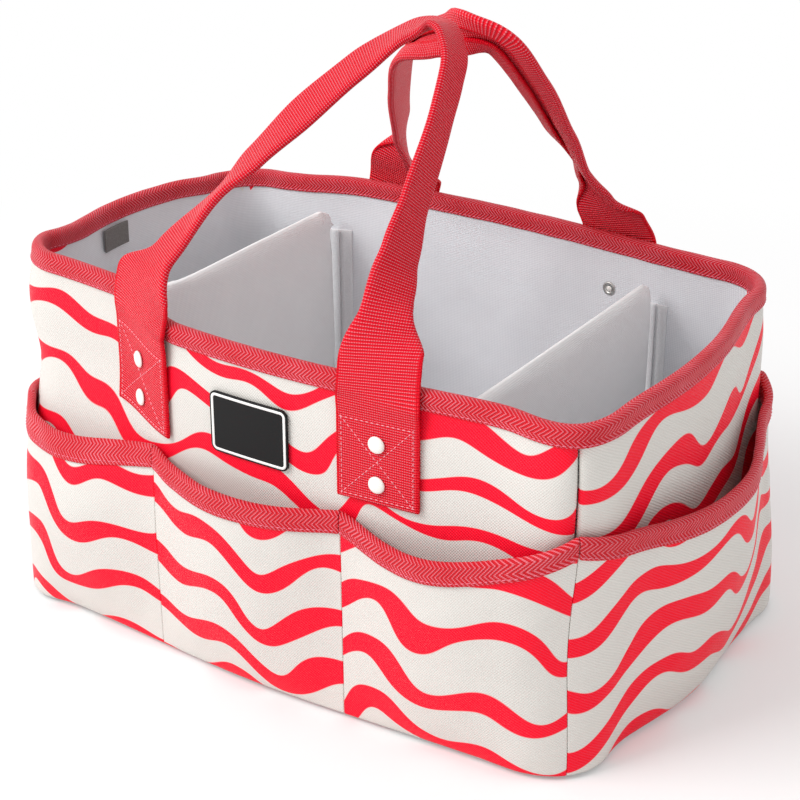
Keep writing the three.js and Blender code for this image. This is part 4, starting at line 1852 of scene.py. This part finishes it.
@dataclass
class Studio:
    """Pale floor, one broad lamp at the front left, soft fill all round, and the camera."""

    camera_at: tuple[float, float, float] = (0.579, -0.859, 0.620)
    camera_turn: tuple[float, float, float] = (64.39, 0.0, 33.54)
    lens: float = 90.0
    key_at: tuple[float, float, float] = (-1.1, -1.5, 1.9)
    key_size: float = 1.3
    key_power: float = 45.0
    fill_strength: float = 0.78

    def floor(self) -> None:
        """White paper floor that keeps the object's shadow and whitens away from it."""
        sheet = bmesh.new()
        bmesh.ops.create_grid(sheet, x_segments=1, y_segments=1, size=6)
        material = bpy.data.materials.new("white_paper_floor")
        material.use_nodes = True
        tree = material.node_tree
        tree.nodes.clear()
        seen = add_node(tree, "LightPath").outputs["Is Camera Ray"]
        paper = add_node(tree, "BsdfDiffuse", {"Color": linear("#f4f4f4")})
        glow = add_node(tree, "Emission", {"Color": linear("#ffffff"), "Strength": 1.0})
        place = add_node(tree, "TexCoord").outputs["Object"]
        away = add_node(tree, "VectorMath", {0: place}, operation="LENGTH").outputs["Value"]
        white = add_node(tree, "MapRange", {"Value": away, "From Min": 0.35, "From Max": 0.75, "To Min": 0.2})
        share = calc(tree, "MULTIPLY", seen, white)
        shown = add_node(tree, "MixShader", {0: share, 1: paper, 2: glow})
        add_node(tree, "OutputMaterial", {"Surface": shown})
        settle("studio_floor", sheet, material)

    def lights(self) -> None:
        """World fill, white where the camera sees it, and the broad lamp."""
        world = bpy.data.worlds.new("studio_air")
        bpy.context.scene.world = world
        world.use_nodes = True
        tree = world.node_tree
        tree.nodes.clear()
        path = add_node(tree, "LightPath")
        seen = path.outputs["Is Camera Ray"]
        for kind in ("Is Glossy Ray", "Is Transmission Ray"):
            seen = calc(tree, "MAXIMUM", seen, path.outputs[kind])
        strength = add_node(tree, "MapRange", {"Value": seen, "To Min": self.fill_strength, "To Max": 1.0})
        air = add_node(tree, "Background", {"Color": linear("#ffffff"), "Strength": strength})
        add_node(tree, "OutputWorld", {"Surface": air})
        lamp = bpy.data.lights.new("broad_lamp", "AREA")
        lamp.energy, lamp.size = self.key_power, self.key_size
        holder = bpy.data.objects.new("broad_lamp", lamp)
        holder.location = self.key_at
        aim = Vector((0, 0, 0.12)) - Vector(self.key_at)
        holder.rotation_euler = aim.to_track_quat("-Z", "Y").to_euler()
        bpy.context.scene.collection.objects.link(holder)

    def camera(self) -> None:
        """Camera fitted to the photograph's viewpoint."""
        lens = bpy.data.cameras.new("fitted_camera")
        lens.lens, lens.sensor_width = self.lens, 36.0
        lens.clip_start, lens.clip_end = 0.05, 50.0
        holder = bpy.data.objects.new("fitted_camera", lens)
        holder.location = self.camera_at
        holder.rotation_euler = [math.radians(angle) for angle in self.camera_turn]
        bpy.context.scene.collection.objects.link(holder)
        bpy.context.scene.camera = holder

    def build(self) -> None:
        """Sets up the studio."""
        self.floor()
        self.lights()
        self.camera()
        bpy.context.scene.view_settings.view_transform = "Standard"


FRONT_LIE = Lie(
    roots=(-79.0, 79.0),
    route=(
        (-0.96, 0.1), (-0.79, 0.28), (-0.36, 0.6), (0.1, 0.87), (0.36, 0.975),
        (0.55, 1.0), (0.73, 0.93), (0.82, 0.74), (0.86, 0.48), (0.94, 0.17),
    ),
    turn=(
        (0.0, 0.0), (0.03, 0.0), (0.1, -0.26), (0.2, -0.53), (0.26, -0.34), (0.34, -0.2), (0.42, -0.26),
        (0.5, -0.44), (0.575, -0.92), (0.62, -1.04), (0.67, -1.06), (0.775, -0.99), (0.838, -0.81),
        (0.88, -0.55), (0.92, -0.25), (0.96, 0.0), (1.0, 0.0),
    ),
    fold=((0.0, 0.0), (0.03, 0.0), (0.1, 1.0), (0.9, 1.0), (0.97, 0.0), (1.0, 0.0)),
)
BACK_LIE = Lie(
    roots=(-72.0, 82.0),
    route=(
        (-0.82, 0.1), (-0.64, 0.31), (-0.38, 0.59), (-0.14, 0.765), (0.2, 0.855),
        (0.5, 0.91), (0.69, 0.89), (0.8, 0.74), (0.86, 0.48), (0.94, 0.17),
    ),
    turn=(
        (0.0, 0.0), (0.045, 0.0), (0.11, -0.62), (0.18, -0.9), (0.3, -1.02), (0.4, -1.12),
        (0.47, -0.85), (0.56, -0.06), (0.66, 0.04), (0.76, 0.18), (0.845, 0.44), (0.9, 0.28),
        (0.955, 0.0), (1.0, 0.0),
    ),
    fold=(
        (0.0, 0.0), (0.04, 0.0), (0.1, 0.85), (0.16, 1.0), (0.84, 1.0), (0.9, 0.7), (0.96, 0.0), (1.0, 0.0),
    ),
)


def main() -> None:
    """Builds the studio and every piece of the caddy, in order."""
    logging.basicConfig(level=logging.INFO, format="%(name)s: %(message)s")
    Studio().build()
    finishes = Finishes()
    outline = Outline()
    Tub(outline, finishes).build()
    Pockets(outline, finishes).build()
    Strap(outline, finishes, Edge.FRONT, FRONT_LIE).build()
    Strap(outline, finishes, Edge.BACK, BACK_LIE).build()
    Rivets(outline, finishes).build()
    NamePatch(outline, finishes).build()
    Dividers(outline, finishes).build()


if __name__ == "__main__":
    main()
